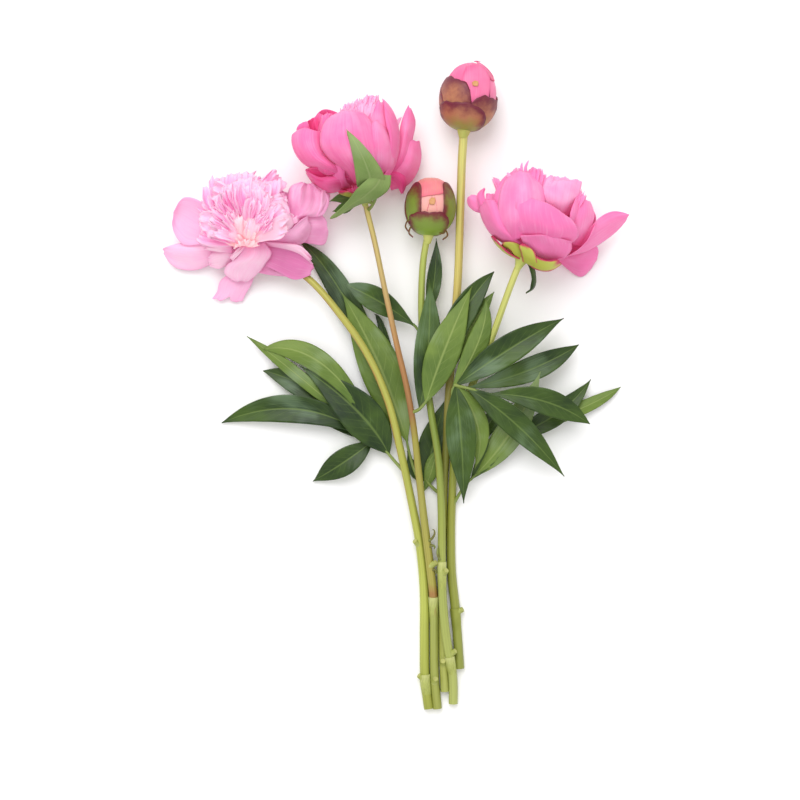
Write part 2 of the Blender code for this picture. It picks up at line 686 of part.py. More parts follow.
def rooted(leaflet, stalks):
    """The leaflet with its midrib starting just inside the nearest of the leaf's own stalks."""
    joints = [joint for stalk in stalks for joint in smooth_route(stalk, 12)]
    near = min(joints, key=lambda joint: np.linalg.norm(joint - np.array(leaflet.base)))
    onward = np.array(leaflet.middle) - near
    return leaflet._replace(base=tuple(near - 0.9 * onward / np.linalg.norm(onward)))


def compound_leaf(name):
    """Leaflets joined on their stalk, which ends just clear of the stem that it grows on."""
    stem_name, stalks, leaflets = LEAVES[name]
    pieces = [
        tube(f"{name}_stalk_{index}", stalk, (PETIOLE_RADIUS * 1.3, PETIOLE_RADIUS * 0.8), 3, 4)
        for index, stalk in enumerate(stalks)
    ]
    for index, leaflet in enumerate(rooted(leaflet, stalks) for leaflet in leaflets):
        blade = shaped_sheet(
            f"{name}_leaflet_{index}",
            LEAF_CELLS,
            lambda across, along, leaflet=leaflet: leaflet_surface(leaflet, across, along),
            LEAF_THICKNESS,
        )
        pieces.append(blade)
    pieces[0].name = name
    leaf = combine(pieces[0], pieces[1:], "UNION")
    return combine(leaf, [green_body(stem_name, CLEARANCE)], "DIFFERENCE")


def place(thing, name, finish, bouquet):
    flatten_below_table(thing)
    thing.name = name
    thing.data.name = name
    thing.data.materials.clear()
    thing.data.materials.append(finish)
    thing.data.shade_smooth()
    thing.data.set_sharp_from_angle(angle=math.radians(40))
    bouquet.objects.link(thing)


def main():
    clear_scene()
    bouquet = make_collection("peony_bouquet")
    stem_finish, leaf_finish = make_finish("stem"), make_finish("leaf")
    for name in STEMS:
        place(green_body(name), name, stem_finish, bouquet)
    for name in LEAVES:
        place(compound_leaf(name), name, leaf_finish, bouquet)
    for name in FLOWERS:
        place(flower_head(name), name, make_finish(name), bouquet)


main()
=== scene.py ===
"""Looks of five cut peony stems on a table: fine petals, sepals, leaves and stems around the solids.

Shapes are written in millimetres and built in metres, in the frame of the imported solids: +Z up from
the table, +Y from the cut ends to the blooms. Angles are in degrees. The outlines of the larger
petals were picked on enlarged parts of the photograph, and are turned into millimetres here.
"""

import math
import random
from typing import NamedTuple

import bmesh
import bpy
import numpy as np
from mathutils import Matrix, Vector


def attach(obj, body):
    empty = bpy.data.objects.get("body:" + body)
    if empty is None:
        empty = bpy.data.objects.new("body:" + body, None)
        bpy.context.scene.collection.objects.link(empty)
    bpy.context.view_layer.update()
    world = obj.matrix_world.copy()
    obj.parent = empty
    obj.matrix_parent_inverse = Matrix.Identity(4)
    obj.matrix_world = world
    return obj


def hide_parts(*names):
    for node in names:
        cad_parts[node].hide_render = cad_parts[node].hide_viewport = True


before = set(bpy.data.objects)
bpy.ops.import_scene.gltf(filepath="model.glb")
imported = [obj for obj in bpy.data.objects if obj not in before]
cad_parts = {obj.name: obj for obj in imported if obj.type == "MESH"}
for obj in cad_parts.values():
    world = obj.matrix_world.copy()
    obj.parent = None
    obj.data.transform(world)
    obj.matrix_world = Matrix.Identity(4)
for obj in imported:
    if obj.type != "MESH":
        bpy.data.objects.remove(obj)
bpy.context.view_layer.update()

MM = 0.001
# The camera stands above the photograph's middle, where a pixel is this wide on the table.
CAMERA_PLACE = (2.8, -8.4, 1350)
PHOTO_MIDDLE = 400
PIXEL = 0.7

PETAL_SHEET = 0.4
FRILL_SHEET = 0.3
SEPAL_SHEET = 0.8
LEAF_SHEET = 0.4
PETIOLE_RADII = (1.3, 0.8)
STUB_RADII = (2.9, 2.2, 1.8)
STUB_LENGTH = 6.0
DRY_BIT_RADII = (0.9, 0.8, 0.3)
HAIR_RADII = (0.35, 0.2)
# Each stem's radius at even steps from its cut end to its flower.
STEM_RADII = {
    "stem_pale_bloom": (3.4, 3.3, 2.8, 2.6, 2.45, 2.4),
    "stem_deep_bloom": (3.2, 3.1, 2.6, 2.1, 1.9, 1.9),
    "stem_green_bud": (3.2, 3.0, 2.7, 2.5, 2.3, 2.3),
    "stem_tall_bud": (3.2, 3.0, 2.8, 2.8, 2.8, 3.0),
    "stem_half_bloom": (3.3, 3.2, 2.8, 2.6, 2.3, 2.3),
}
# Heights on a flower's axis at which its stem's neck swells into its foot, and the radius at each.
NECK_HEIGHTS = (-10, -5.5, -1.4)
NECK_RADII = (1.9, 3.3, 5.4)
TALL_NECK_RADII = (2.7, 4.4, 6.6)

GOLDEN_ANGLE = 137.508
# Steps in which a petal's line is followed.
ROUTE_STEPS = 48
# A petal near the table is bent so that it lies on it. Above the free height nothing is bent.
FREE_HEIGHT = 12
TABLE_SOFTNESS = 0.8

# The floor, the lamp and the sky, in metres and watts. The floor lies just under the table's height.
FLOOR_HALF_WIDTH = 2.5
FLOOR_DROP = 0.0001
FLOOR_COLOUR = (0.96, 0.96, 0.96, 1)
LAMP_PLACE = (-0.35, 1.1, 1.6)
LAMP_SIZE = 1.6
LAMP_POWER = 22
SKY_COLOUR = (1.0, 0.99, 0.99, 1)
SKY_STRENGTH = 0.96
LENS = 86.8
SENSOR_WIDTH = 36


class Petal(NamedTuple):
    """One petal or sepal about a flower's axis. A lean of 0 is along the axis, and 90 straight out.

    The tone runs from 0, the deepest colour of its finish, over 0.5 to 1, the palest.
    """

    azimuth: float
    length: float
    half_width: float
    lean_root: float
    lean_tip: float
    cup_radius: float = 40.0
    knee: float = 1.0
    straight: float = 0.0
    root_radius: float = 3.0
    root_height: float = 0.0
    claw: float = 0.35
    tip_drop: float = 0.3
    notch: float = 0.0
    ruffle: float = 0.0
    waves: float = 3.0
    phase: float = 0.0
    jag: float = 0.0
    curl: float = 0.0
    twist: float = 0.0
    tone: float = 0.5


class Placed(NamedTuple):
    """One petal along a line of points from root to tip, with the way that its upper face looks.

    Arch is the radius of its bend across: above 0 its sides rise towards that face, and below 0 they fall.
    """

    line: tuple
    half_width: float
    face: tuple = (0.0, 0.0, 1.0)
    arch: float = 0.0
    claw: float = 0.5
    belly: float = 0.7
    tip_drop: float = 0.3
    notch: float = 0.0
    ruffle: float = 0.0
    waves: float = 3.0
    phase: float = 0.0
    pleat: float = 0.0
    jag: float = 0.0
    curl: float = 0.0
    tone: float = 0.5


class Edged(NamedTuple):
    """A petal between its two side edges, each a line of points from root to tip.

    Bulge is how far its middle stands up from the straight line between them.
    """

    left: tuple
    right: tuple
    bulge: float
    tone: float
    curl: float = 0.0
    crown: float = 0.0
    warp: float = 0.5
    ruffle: float = 0.0
    waves: float = 3.0
    pleat: float = 0.0
    jag: float = 0.0
    notch: float = 0.0
    tip_drop: float = 0.04
    phase: float = 0.0


class Patch(NamedTuple):
    """A petal or sepal close on a bud, from one angle to another, with 0 at the foot and 180 at the tip."""

    azimuth: float
    half_width: float
    start: float
    end: float
    lift: float = 0.0
    tip_lift: float = 0.0
    slant: float = 0.0
    claw: float = 0.5
    belly: float = 0.6
    tip_drop: float = 0.3
    notch: float = 0.0
    jag: float = 0.0
    phase: float = 0.0
    tone: float = 0.5


class Leaflet(NamedTuple):
    """One leaf blade: its midrib through three points, its half width, and which face looks up."""

    base: tuple
    middle: tuple
    tip: tuple
    half_width: float
    underside_up: bool = False
    belly: float = 0.42
    fold: float = 14.0
    wave: float = 0.5


class Flower(NamedTuple):
    """Where a bloom sits: the top of its stem, and the way it faces."""

    seat: tuple
    axis: tuple


class Crop(NamedTuple):
    """A part of the photograph on which points were picked: its left and top, and its enlargement."""

    left: float
    top: float
    enlargement: float

    def place(self, across, down, height):
        """The place in the bouquet that shows at a point of the crop, at a height above the table."""
        scale = PIXEL * (1 - height / CAMERA_PLACE[2])
        x = (self.left + across / self.enlargement - PHOTO_MIDDLE) * scale + CAMERA_PLACE[0]
        y = (PHOTO_MIDDLE - (self.top + down / self.enlargement)) * scale + CAMERA_PLACE[1]
        return (round(x, 1), round(y, 1), height)


def from_crop(crop, petals):
    """Petals whose points are picked on a crop: across and down it in pixels, and up in millimetres."""
    moved = []
    for petal in petals:
        edges = [edge for edge in ("left", "right", "line") if edge in petal._fields]
        places = {edge: [crop.place(*point) for point in getattr(petal, edge)] for edge in edges}
        moved.append(petal._replace(**places))
    return moved


# Each stem's route, from its cut end to just under its flower.
STEMS = {
    "stem_pale_bloom": [
        (22.9, -224, 2.4), (20.3, -204, 2.4), (19.8, -176, 2.4), (19.6, -141, 3.4), (16.6, -110, 5.0),
        (10.5, -78, 8.0), (3, -43, 11.0), (-6, -8, 13.0), (-22, 27, 14.0), (-39, 51, 14.0),
        (-60, 75, 13.0), (-78, 88, 11.6), (-90, 94.5, 10.2), (-96, 97.5, 11.6),
    ],
    "stem_deep_bloom": [
        (28.9, -224, 2.4), (27.0, -204, 2.4), (26.6, -176, 3.2), (26.3, -148, 6.0), (24, -127, 7.6),
        (19.5, -92, 10.0), (15.5, -57, 12.5), (12, -26, 14.5), (8.5, -5, 16.0), (0.5, 30, 18.0),
        (-8, 69, 20.0), (-15.5, 104, 23.5), (-20, 122, 26.2), (-21.8, 130.5, 27.2),
    ],
    "stem_green_bud": [
        (39.9, -220.5, 2.4), (39.9, -208, 3.2), (38.9, -195, 5.4), (36.5, -183, 7.6), (34.5, -170, 8.8),
        (32.5, -148, 8.8), (31.8, -120, 8.8), (31.5, -85, 9.0), (29.5, -50, 9.5), (24, -15, 10.5),
        (19.5, 20, 12.0), (17.5, 61.5, 13.5), (19.5, 93, 15.5), (21.8, 105, 16.9),
    ],
    "stem_tall_bud": [
        (34.2, -212, 2.4), (33.2, -190, 2.4), (32.9, -176, 2.4), (32, -148, 2.4), (32, -120, 2.4),
        (32.9, -85, 2.4), (33.5, -64, 3.2), (35, -43, 4.2), (36.5, -8, 6.2), (39, 27, 8.5),
        (42.5, 69, 11.5), (44.5, 125, 15.6), (45.8, 163, 18.4), (46.8, 177.5, 19.8),
    ],
    "stem_half_bloom": [
        (44.4, -196, 2.4), (43.0, -176, 2.4), (41.2, -152.5, 2.4), (38.9, -131, 2.4), (38.3, -106, 2.4),
        (39, -78, 3.2), (40.8, -47, 5.5), (46, -15, 9.0), (57.5, 12.5, 14.0), (67, 37, 20.0),
        (76, 63, 27.0), (81.5, 78, 31.5), (84.8, 86, 33.4),
    ],
}

# Cut leaf stubs on the lower stems: a point on the stem, and the way the stub leans.
STUBS = {
    "stem_pale_bloom": [((20.3, -204, 2.8), (-0.75, 0.6, 0.3)), ((16.6, -110, 5.0), (-0.6, 0.6, 0.5))],
    "stem_deep_bloom": [((27.0, -206, 2.8), (0.1, 0.6, 0.8)), ((23.6, -124, 7.8), (0.7, 0.5, 0.7))],
    "stem_green_bud": [((36.9, -186, 7.0), (0.75, 0.55, 0.35)), ((32.0, -130, 8.8), (0.5, 0.6, 0.7))],
    "stem_tall_bud": [((33.3, -193, 2.8), (-0.1, 0.5, 0.85))],
    "stem_half_bloom": [((41.5, -157, 2.8), (0.85, 0.45, 0.3))],
}

# Where a stem thickens below a joint: points from the joint down, and the radius at each.
JOINTS = {
    "stem_pale_bloom": [([(20.2, -200, 2.9), (20.7, -207, 2.7), (21.6, -214, 2.5)], (3.9, 3.7, 3.35))],
    "stem_deep_bloom": [([(26.2, -145.5, 6.3), (26.4, -153, 5.3), (26.6, -164, 4.0)], (3.7, 3.4, 3.05))],
    "stem_green_bud": [
        ([(31.8, -121, 8.8), (32.0, -129, 8.8), (32.3, -140, 8.8)], (3.4, 3.2, 2.85)),
        ([(37.2, -187, 6.9), (38.2, -192, 6.0), (39.3, -199, 4.7)], (3.7, 3.5, 3.05)),
    ],
    "stem_half_bloom": [([(41.3, -154, 2.9), (42.0, -161, 2.7), (42.6, -170, 2.5)], (3.7, 3.5, 3.15))],
}

# Small dried and curled remains of leaves on the lower stems.
DRY_BITS = {
    "stem_deep_bloom": [
        [(22.6, -106.2, 11), (25.0, -104.4, 12), (26.7, -101.4, 12), (26.4, -98.6, 11), (25.3, -98.4, 10)],
        [(23.2, -110.6, 10.5), (25.2, -109.2, 11), (27.0, -110.2, 10.5), (26.6, -111.8, 9.5)],
        [(25.0, -126.8, 9.5), (26.8, -126.2, 10), (28.0, -128.4, 9.5), (27.4, -129.6, 9)],
    ],
    "stem_green_bud": [[(30.8, -119.4, 11), (29.2, -117.0, 12), (28.8, -112.6, 11.5), (29.6, -109.6, 10.5)]],
}

# Each compound leaf: its stalks and its leaflets.
LEAVES = {
    "leaf_left_fan": (
        [[(5.5, -58, 9.6), (0, -52, 8.2), (-8, -43, 6.6), (-18, -35, 5.6)]],
        [
            Leaflet((-17, -36, 6), (-67, -15, 9), (-122, -24.5, 1.6), 9.8, belly=0.55),
            Leaflet((-17, -34, 5), (-57, -3, 5), (-93, 12, 3), 9.0, belly=0.55),
            Leaflet((-27, -20, 9.5), (-68, 8.5, 10), (-104, 36, 5), 4.6, underside_up=True, belly=0.5),
            Leaflet((-9, -42, 7), (-48, 14, 13.5), (-92, 27, 8.5), 8.2, underside_up=True, belly=0.62),
            Leaflet((-5, -46, 7.5), (-28, -15, 10.5), (-67, 15.5, 9), 14.0),
            Leaflet((-17, -38, 4.5), (-36, -28, 2.8), (-62, -20, 1.6), 3.6),
            Leaflet((-15, -37, 5), (-36, -51.5, 8.5), (-58, -65, 1.6), 9.2, belly=0.5, wave=1.4),
        ],
    ),
    "leaf_long_left": (
        [[(15, -62, 12), (12.5, -56, 8.5), (9.5, -46, 7.0), (7, -34, 6.2)]],
        [
            Leaflet((7, -36, 6), (-13, 19, 8.2), (-38, 66.5, 7.6), 14.5, underside_up=True, fold=6),
            Leaflet((-1, 4, 5.0), (-34, 59, 4.0), (-68, 103, 3), 8.5, belly=0.5, fold=8),
            Leaflet((1, 2, 4.6), (-7, 31.5, 3.2), (-15, 51, 2.4), 3.2, fold=4),
        ],
    ),
    "leaf_upper_mid": (
        [[(18.2, 34, 12.2), (16.5, 38.5, 9.5), (12, 44.5, 9.2)]],
        [Leaflet((14, 43.5, 9.3), (-10, 59, 12), (-35, 72, 11.5), 8.5, belly=0.58)],
    ),
    "leaf_mid_fan": (
        [[(11, -17, 15.4), (15, -15.5, 17.0), (20, -10.5, 17.8), (24, -4, 18.2)]],
        [
            Leaflet((16, -15, 17.2), (22.5, 32, 17.2), (23, 75, 18.6), 9.3, fold=5),
            Leaflet((20.5, -10, 18), (35, 30, 21.8), (52.5, 70, 19.0), 11.5, underside_up=True, fold=6),
            Leaflet((20, -10, 17.6), (42, 44, 17.2), (68, 80.5, 15), 9.0, belly=0.55),
            Leaflet((30, 12, 17.2), (53, 44, 15.6), (68, 66.5, 14), 6.0, underside_up=True),
        ],
    ),
    "leaf_right_fan": (
        [
            [(42.3, -40, 6.6), (41.5, -36, 11.5), (40.5, -18, 19), (41, 1.5, 22), (45, 3, 22)],
            [(40, 2, 22), (52, -1, 23), (67, -5, 24)],
        ],
        [
            Leaflet((41, 1, 22), (80, 28, 26), (116, 48, 17), 10.0, belly=0.45),
            Leaflet((40, 0, 21.5), (57.5, 34, 23.0), (62, 62, 20.5), 7.4, underside_up=True),
            Leaflet((48, 0, 22), (91, 12, 16.5), (127, 30, 10), 8.5, belly=0.55),
            Leaflet((64, -4.5, 24), (101, -9, 26), (134, -25, 17), 9.0, belly=0.55),
            Leaflet((50, -1, 23), (82.5, -25, 23.5), (117, -61.5, 9), 9.0, belly=0.48),
            Leaflet((41, 2, 22), (45, -36, 21.5), (47, -80, 11), 10.3, belly=0.45),
            Leaflet((42, 1, 21.5), (57, -28, 18.5), (54.5, -56, 13), 7.6, underside_up=True),
        ],
    ),
    "leaf_low_right": (
        [[(39.5, -82, 3.6), (43, -76, 4.6), (48, -68, 5.8), (56, -60, 7.0)]],
        [
            Leaflet((54, -62, 7), (81, -28, 14.5), (99.5, 11, 21), 10.0, underside_up=True, belly=0.45),
            Leaflet((53, -62.5, 6.6), (67, -44, 8.5), (80, -28, 9), 6.0),
        ],
    ),
    "leaf_far_right": (
        [[(41, -46, 5.6), (48, -43, 4.2), (60, -37.5, 3.6), (76, -34.5, 4.2)]],
        [
            Leaflet((72, -35.5, 4.2), (109, -20, 7.5), (136, 6, 4), 7.6, belly=0.5),
            Leaflet((73, -35, 4), (125, -16, 5.5), (157, 0.7, 2.4), 4.8, underside_up=True, belly=0.55),
            Leaflet((58, -38.5, 3.8), (67, -22, 8.5), (82, -10, 9.5), 6.0),
        ],
    ),
    "leaf_low_centre": (
        [[(32, -75, 3.0), (26, -70, 2.9), (20.5, -63, 2.8), (23.5, -52, 3.4), (28, -44, 4.4)]],
        [
            Leaflet((20.5, -63, 2.6), (26.6, -36.4, 1.1), (35, -7, 1.6), 10.0, fold=4, wave=0.2),
            Leaflet((28, -44, 4.4), (25, -57, 4.2), (19, -73.5, 2.4), 5.4, underside_up=True, fold=8),
            Leaflet((20.5, -63, 2.8), (13, -57, 3.6), (8, -44, 4.0), 4.4),
        ],
    ),
    "leaf_bud_bract": (
        [[(17.8, 46, 12.4), (20.5, 48.5, 9.6), (24, 54, 9.2)]],
        [Leaflet((22.5, 51, 9.3), (27, 79, 9.4), (28, 104, 8), 5.2)],
    ),
    "leaf_bloom_bract": (
        [
            [(-19, 122, 26.5), (-17, 123.5, 31), (-15, 126, 37), (-13, 130, 42), (-12, 134, 47)],
            [(-15, 125.5, 36), (-19, 126.5, 38), (-24, 126, 35), (-30, 125, 30)],
        ],
        [
            Leaflet((-28, 125.5, 31), (-36, 123, 27), (-43.5, 121, 26), 3.8),
            Leaflet((-26, 126, 34), (-35, 130, 27), (-46, 128, 23), 4.0),
        ],
    ),
}

FLOWERS = {
    "pale_bloom": Flower((-98, 101, 16.5), (-0.10, 0.41, 0.91)),
    "deep_bloom": Flower((-22.5, 134.5, 27.8), (-0.15, 0.98, 0.09)),
    "half_bloom": Flower((86.5, 90.0, 34), (0.37, 0.925, 0.08)),
    "green_bud": Flower((22.6, 109.5, 17.4), (0.08, 0.99, 0.0)),
    "tall_bud": Flower((47.4, 182, 20.4), (0.14, 0.985, 0.02)),
}

# The parts of the photograph on which the petals' points were picked.
DEEP_BLOOM_CROP = Crop(285, 88, 8)
HALF_BLOOM_CROP = Crop(460, 155, 7)
PALE_BLOOM_CROP = Crop(155, 160, 7)

DEEP_BLOOM_PETALS = from_crop(DEEP_BLOOM_CROP, [
    # Splayed at the right, with a deep hollow between them. The sheet in the hollow has the deepest tone,
    # which is partly the bloom's own deep colour and partly painted shade of the hollow.
    Edged(
        [(800, 700, 20), (880, 560, 25), (905, 420, 26), (935, 260, 25), (985, 138, 22)],
        [(830, 730, 18), (960, 600, 21), (1022, 400, 20), (1043, 270, 19), (997, 138, 22)],
        bulge=4, tone=0.68,
    ),
    Edged(
        [(780, 700, 20), (868, 600, 24), (880, 500, 24), (900, 440, 23)],
        [(900, 700, 17), (955, 600, 19), (965, 520, 19), (950, 440, 19)],
        bulge=-3, tone=0.02,
    ),
    Edged(
        [(800, 700, 18), (880, 640, 22), (955, 560, 24), (965, 480, 23), (1000, 425, 21)],
        [(850, 820, 10), (985, 775, 9), (1062, 670, 9), (1089, 560, 11), (1072, 405, 14)],
        bulge=5, tone=0.72, curl=1,
    ),
    Edged(
        [(740, 690, 18), (830, 727, 18), (895, 785, 14), (932, 853, 9)],
        [(850, 628, 22), (932, 668, 20), (973, 745, 15), (944, 853, 9)],
        bulge=4, tone=0.2, curl=1,
    ),
    # At the back on the right.
    Edged(
        [(700, 780, 28), (660, 560, 44), (655, 330, 48), (672, 190, 46), (745, 96, 42)],
        [(780, 740, 24), (885, 600, 30), (908, 450, 34), (900, 320, 37), (850, 195, 39), (768, 92, 41)],
        bulge=8, tone=0.72, jag=0.01,
    ),
    Edged(
        [(650, 780, 34), (650, 600, 50), (660, 400, 54), (680, 290, 51), (705, 258, 48)],
        [(770, 720, 32), (860, 640, 38), (874, 520, 41), (856, 400, 44), (800, 300, 46), (745, 262, 47)],
        bulge=9, tone=0.74,
    ),
    # Inside, at the upper left.
    Edged(
        [(280, 480, 28), (190, 400, 31), (150, 320, 32), (168, 285, 32)],
        [(380, 480, 34), (330, 380, 36), (300, 290, 36), (290, 196, 34)],
        bulge=-6, tone=0.2, ruffle=1.6, crown=2, pleat=0.5,
    ),
    Edged(
        [(200, 440, 30), (118, 380, 33), (92, 325, 34), (115, 288, 33)],
        [(260, 440, 32), (205, 350, 35), (190, 290, 36), (178, 262, 34)],
        bulge=2, tone=0.4, ruffle=1,
    ),
    Edged(
        [(330, 450, 42), (285, 330, 44), (290, 240, 43), (300, 196, 41)],
        [(420, 450, 46), (380, 330, 47), (375, 250, 46), (398, 204, 43)],
        bulge=3, tone=0.45, ruffle=1.4, jag=0.03, pleat=0.4,
    ),
    # The cup at the left.
    Edged(
        [(420, 740, 30), (250, 665, 34), (140, 600, 35), (68, 490, 36), (54, 400, 36), (72, 330, 37)],
        [(520, 720, 34), (430, 620, 44), (340, 540, 47), (300, 450, 49), (290, 380, 48), (292, 326, 47)],
        bulge=13, tone=0.62, curl=1,
    ),
    # The broad one in front.
    Edged(
        [(560, 770, 34), (460, 650, 45), (345, 560, 52), (288, 470, 56), (288, 350, 55), (345, 245, 52),
            (450, 190, 49)],
        [(650, 790, 36), (735, 650, 48), (745, 500, 53), (722, 370, 53), (690, 270, 51), (630, 205, 50),
            (520, 185, 49)],
        bulge=15, tone=0.7, curl=1.2,
    ),
    # Curled, at the lower left.
    Edged(
        [(400, 700, 36), (300, 745, 34), (230, 720, 32), (160, 652, 33)],
        [(400, 640, 42), (330, 635, 43), (250, 640, 42), (175, 640, 37)],
        bulge=-4, tone=0, ruffle=1.2,
    ),
    Edged(
        [(590, 785, 26), (450, 822, 24), (340, 838, 20), (240, 780, 18), (158, 668, 24)],
        [(560, 720, 36), (470, 700, 40), (380, 700, 40), (280, 715, 34), (165, 655, 31)],
        bulge=7, tone=0.35, ruffle=0.5,
    ),
    Edged(
        [(340, 700, 41), (300, 650, 44), (300, 600, 46), (330, 580, 47)],
        [(420, 690, 43), (400, 640, 46), (395, 600, 48), (382, 580, 49)],
        bulge=3, tone=0.3, ruffle=0.6,
    ),
    Edged(
        [(430, 810, 28), (385, 700, 40), (372, 620, 46), (385, 578, 48)],
        [(530, 790, 32), (482, 720, 42), (478, 660, 46), (470, 612, 47)],
        bulge=3, tone=0.55, curl=0.8,
    ),
])
HALF_BLOOM_PETALS = from_crop(HALF_BLOOM_CROP, [
    # Lying on the table at the lower right.
    Edged(
        [(690, 700, 14), (850, 675, 15), (955, 640, 12), (972, 700, 7)],
        [(690, 740, 8), (745, 792, 4), (850, 852, 2), (937, 775, 2)],
        bulge=3, tone=0.55, ruffle=0.4, warp=0.9,
    ),
    # The long one at the right, and one behind it.
    Edged(
        [(800, 600, 32), (900, 520, 34), (975, 440, 31), (1070, 395, 25), (1180, 412, 18)],
        [(700, 720, 26), (870, 680, 21), (1010, 602, 16), (1110, 520, 13), (1186, 430, 16)],
        bulge=5, tone=0.62, curl=0.8,
    ),
    Edged(
        [(740, 620, 36), (765, 520, 42), (770, 430, 46), (832, 318, 42)],
        [(850, 650, 28), (915, 520, 32), (938, 420, 33), (905, 308, 34)],
        bulge=7, tone=0.62, curl=0.8, ruffle=0.4,
    ),
    # At the top, seen from inside.
    Edged(
        [(620, 330, 42), (600, 220, 42), (625, 138, 39)],
        [(800, 330, 40), (780, 220, 39), (756, 152, 37)],
        bulge=4, tone=0.9, ruffle=0.8, jag=0.04,
    ),
    Edged(
        [(540, 330, 44), (528, 240, 45), (552, 175, 43)],
        [(680, 330, 46), (670, 230, 45), (645, 135, 42)],
        bulge=5, tone=0.85, ruffle=0.6, jag=0.02,
    ),
    Edged(
        [(600, 420, 48), (568, 330, 51), (556, 240, 49), (590, 186, 45)],
        [(770, 430, 44), (815, 330, 44), (842, 240, 42), (856, 176, 38)],
        bulge=9, tone=0.86, pleat=0.35, ruffle=0.6, jag=0.02, crown=2,
    ),
    # At the far left.
    Edged(
        [(180, 410, 26), (110, 397, 27), (58, 352, 26), (47, 305, 26)],
        [(190, 350, 28), (140, 308, 30), (110, 282, 29), (72, 278, 28)],
        bulge=3, tone=0.7,
    ),
    Edged(
        [(170, 420, 32), (128, 340, 34), (120, 280, 34), (150, 240, 33)],
        [(215, 420, 36), (182, 330, 37), (170, 280, 36), (178, 229, 34)],
        bulge=2.5, tone=0.4, curl=0.6,
    ),
    Edged(
        [(205, 420, 36), (178, 330, 37), (182, 265, 37)],
        [(290, 420, 42), (255, 320, 42), (236, 266, 40)],
        bulge=-2, tone=0.75, ruffle=0.6,
    ),
    Edged(
        [(350, 650, 34), (210, 548, 34), (150, 440, 34), (130, 345, 33)],
        [(430, 620, 46), (330, 520, 51), (285, 400, 51), (240, 296, 47)],
        bulge=9, tone=0.55, curl=0.8, ruffle=0.5,
    ),
    # At the upper left.
    Edged(
        [(330, 630, 36), (235, 480, 42), (228, 330, 44), (285, 185, 43), (350, 118, 41)],
        [(420, 600, 46), (420, 400, 52), (420, 300, 52), (420, 200, 48), (400, 108, 43)],
        bulge=6, tone=0.55, curl=0.5,
    ),
    Edged(
        [(340, 620, 42), (280, 480, 50), (268, 330, 51), (318, 175, 48), (375, 118, 46)],
        [(480, 560, 53), (590, 400, 56), (600, 320, 54), (570, 205, 50), (480, 108, 46)],
        bulge=13, tone=0.66, curl=0.8, warp=1,
    ),
    # The broad one in front, and its lip.
    Edged(
        [(440, 610, 48), (400, 480, 60), (388, 350, 63), (424, 258, 61)],
        [(770, 630, 44), (828, 560, 49), (812, 500, 53), (765, 436, 55)],
        bulge=11, tone=0.42, curl=1.4, warp=0.9, crown=1,
    ),
    Edged(
        [(560, 738, 36), (470, 655, 46), (412, 552, 58)],
        [(722, 732, 34), (778, 665, 44), (780, 596, 53)],
        bulge=5, tone=0.5, curl=1.2, ruffle=0.8, crown=1.5, warp=1,
    ),
])
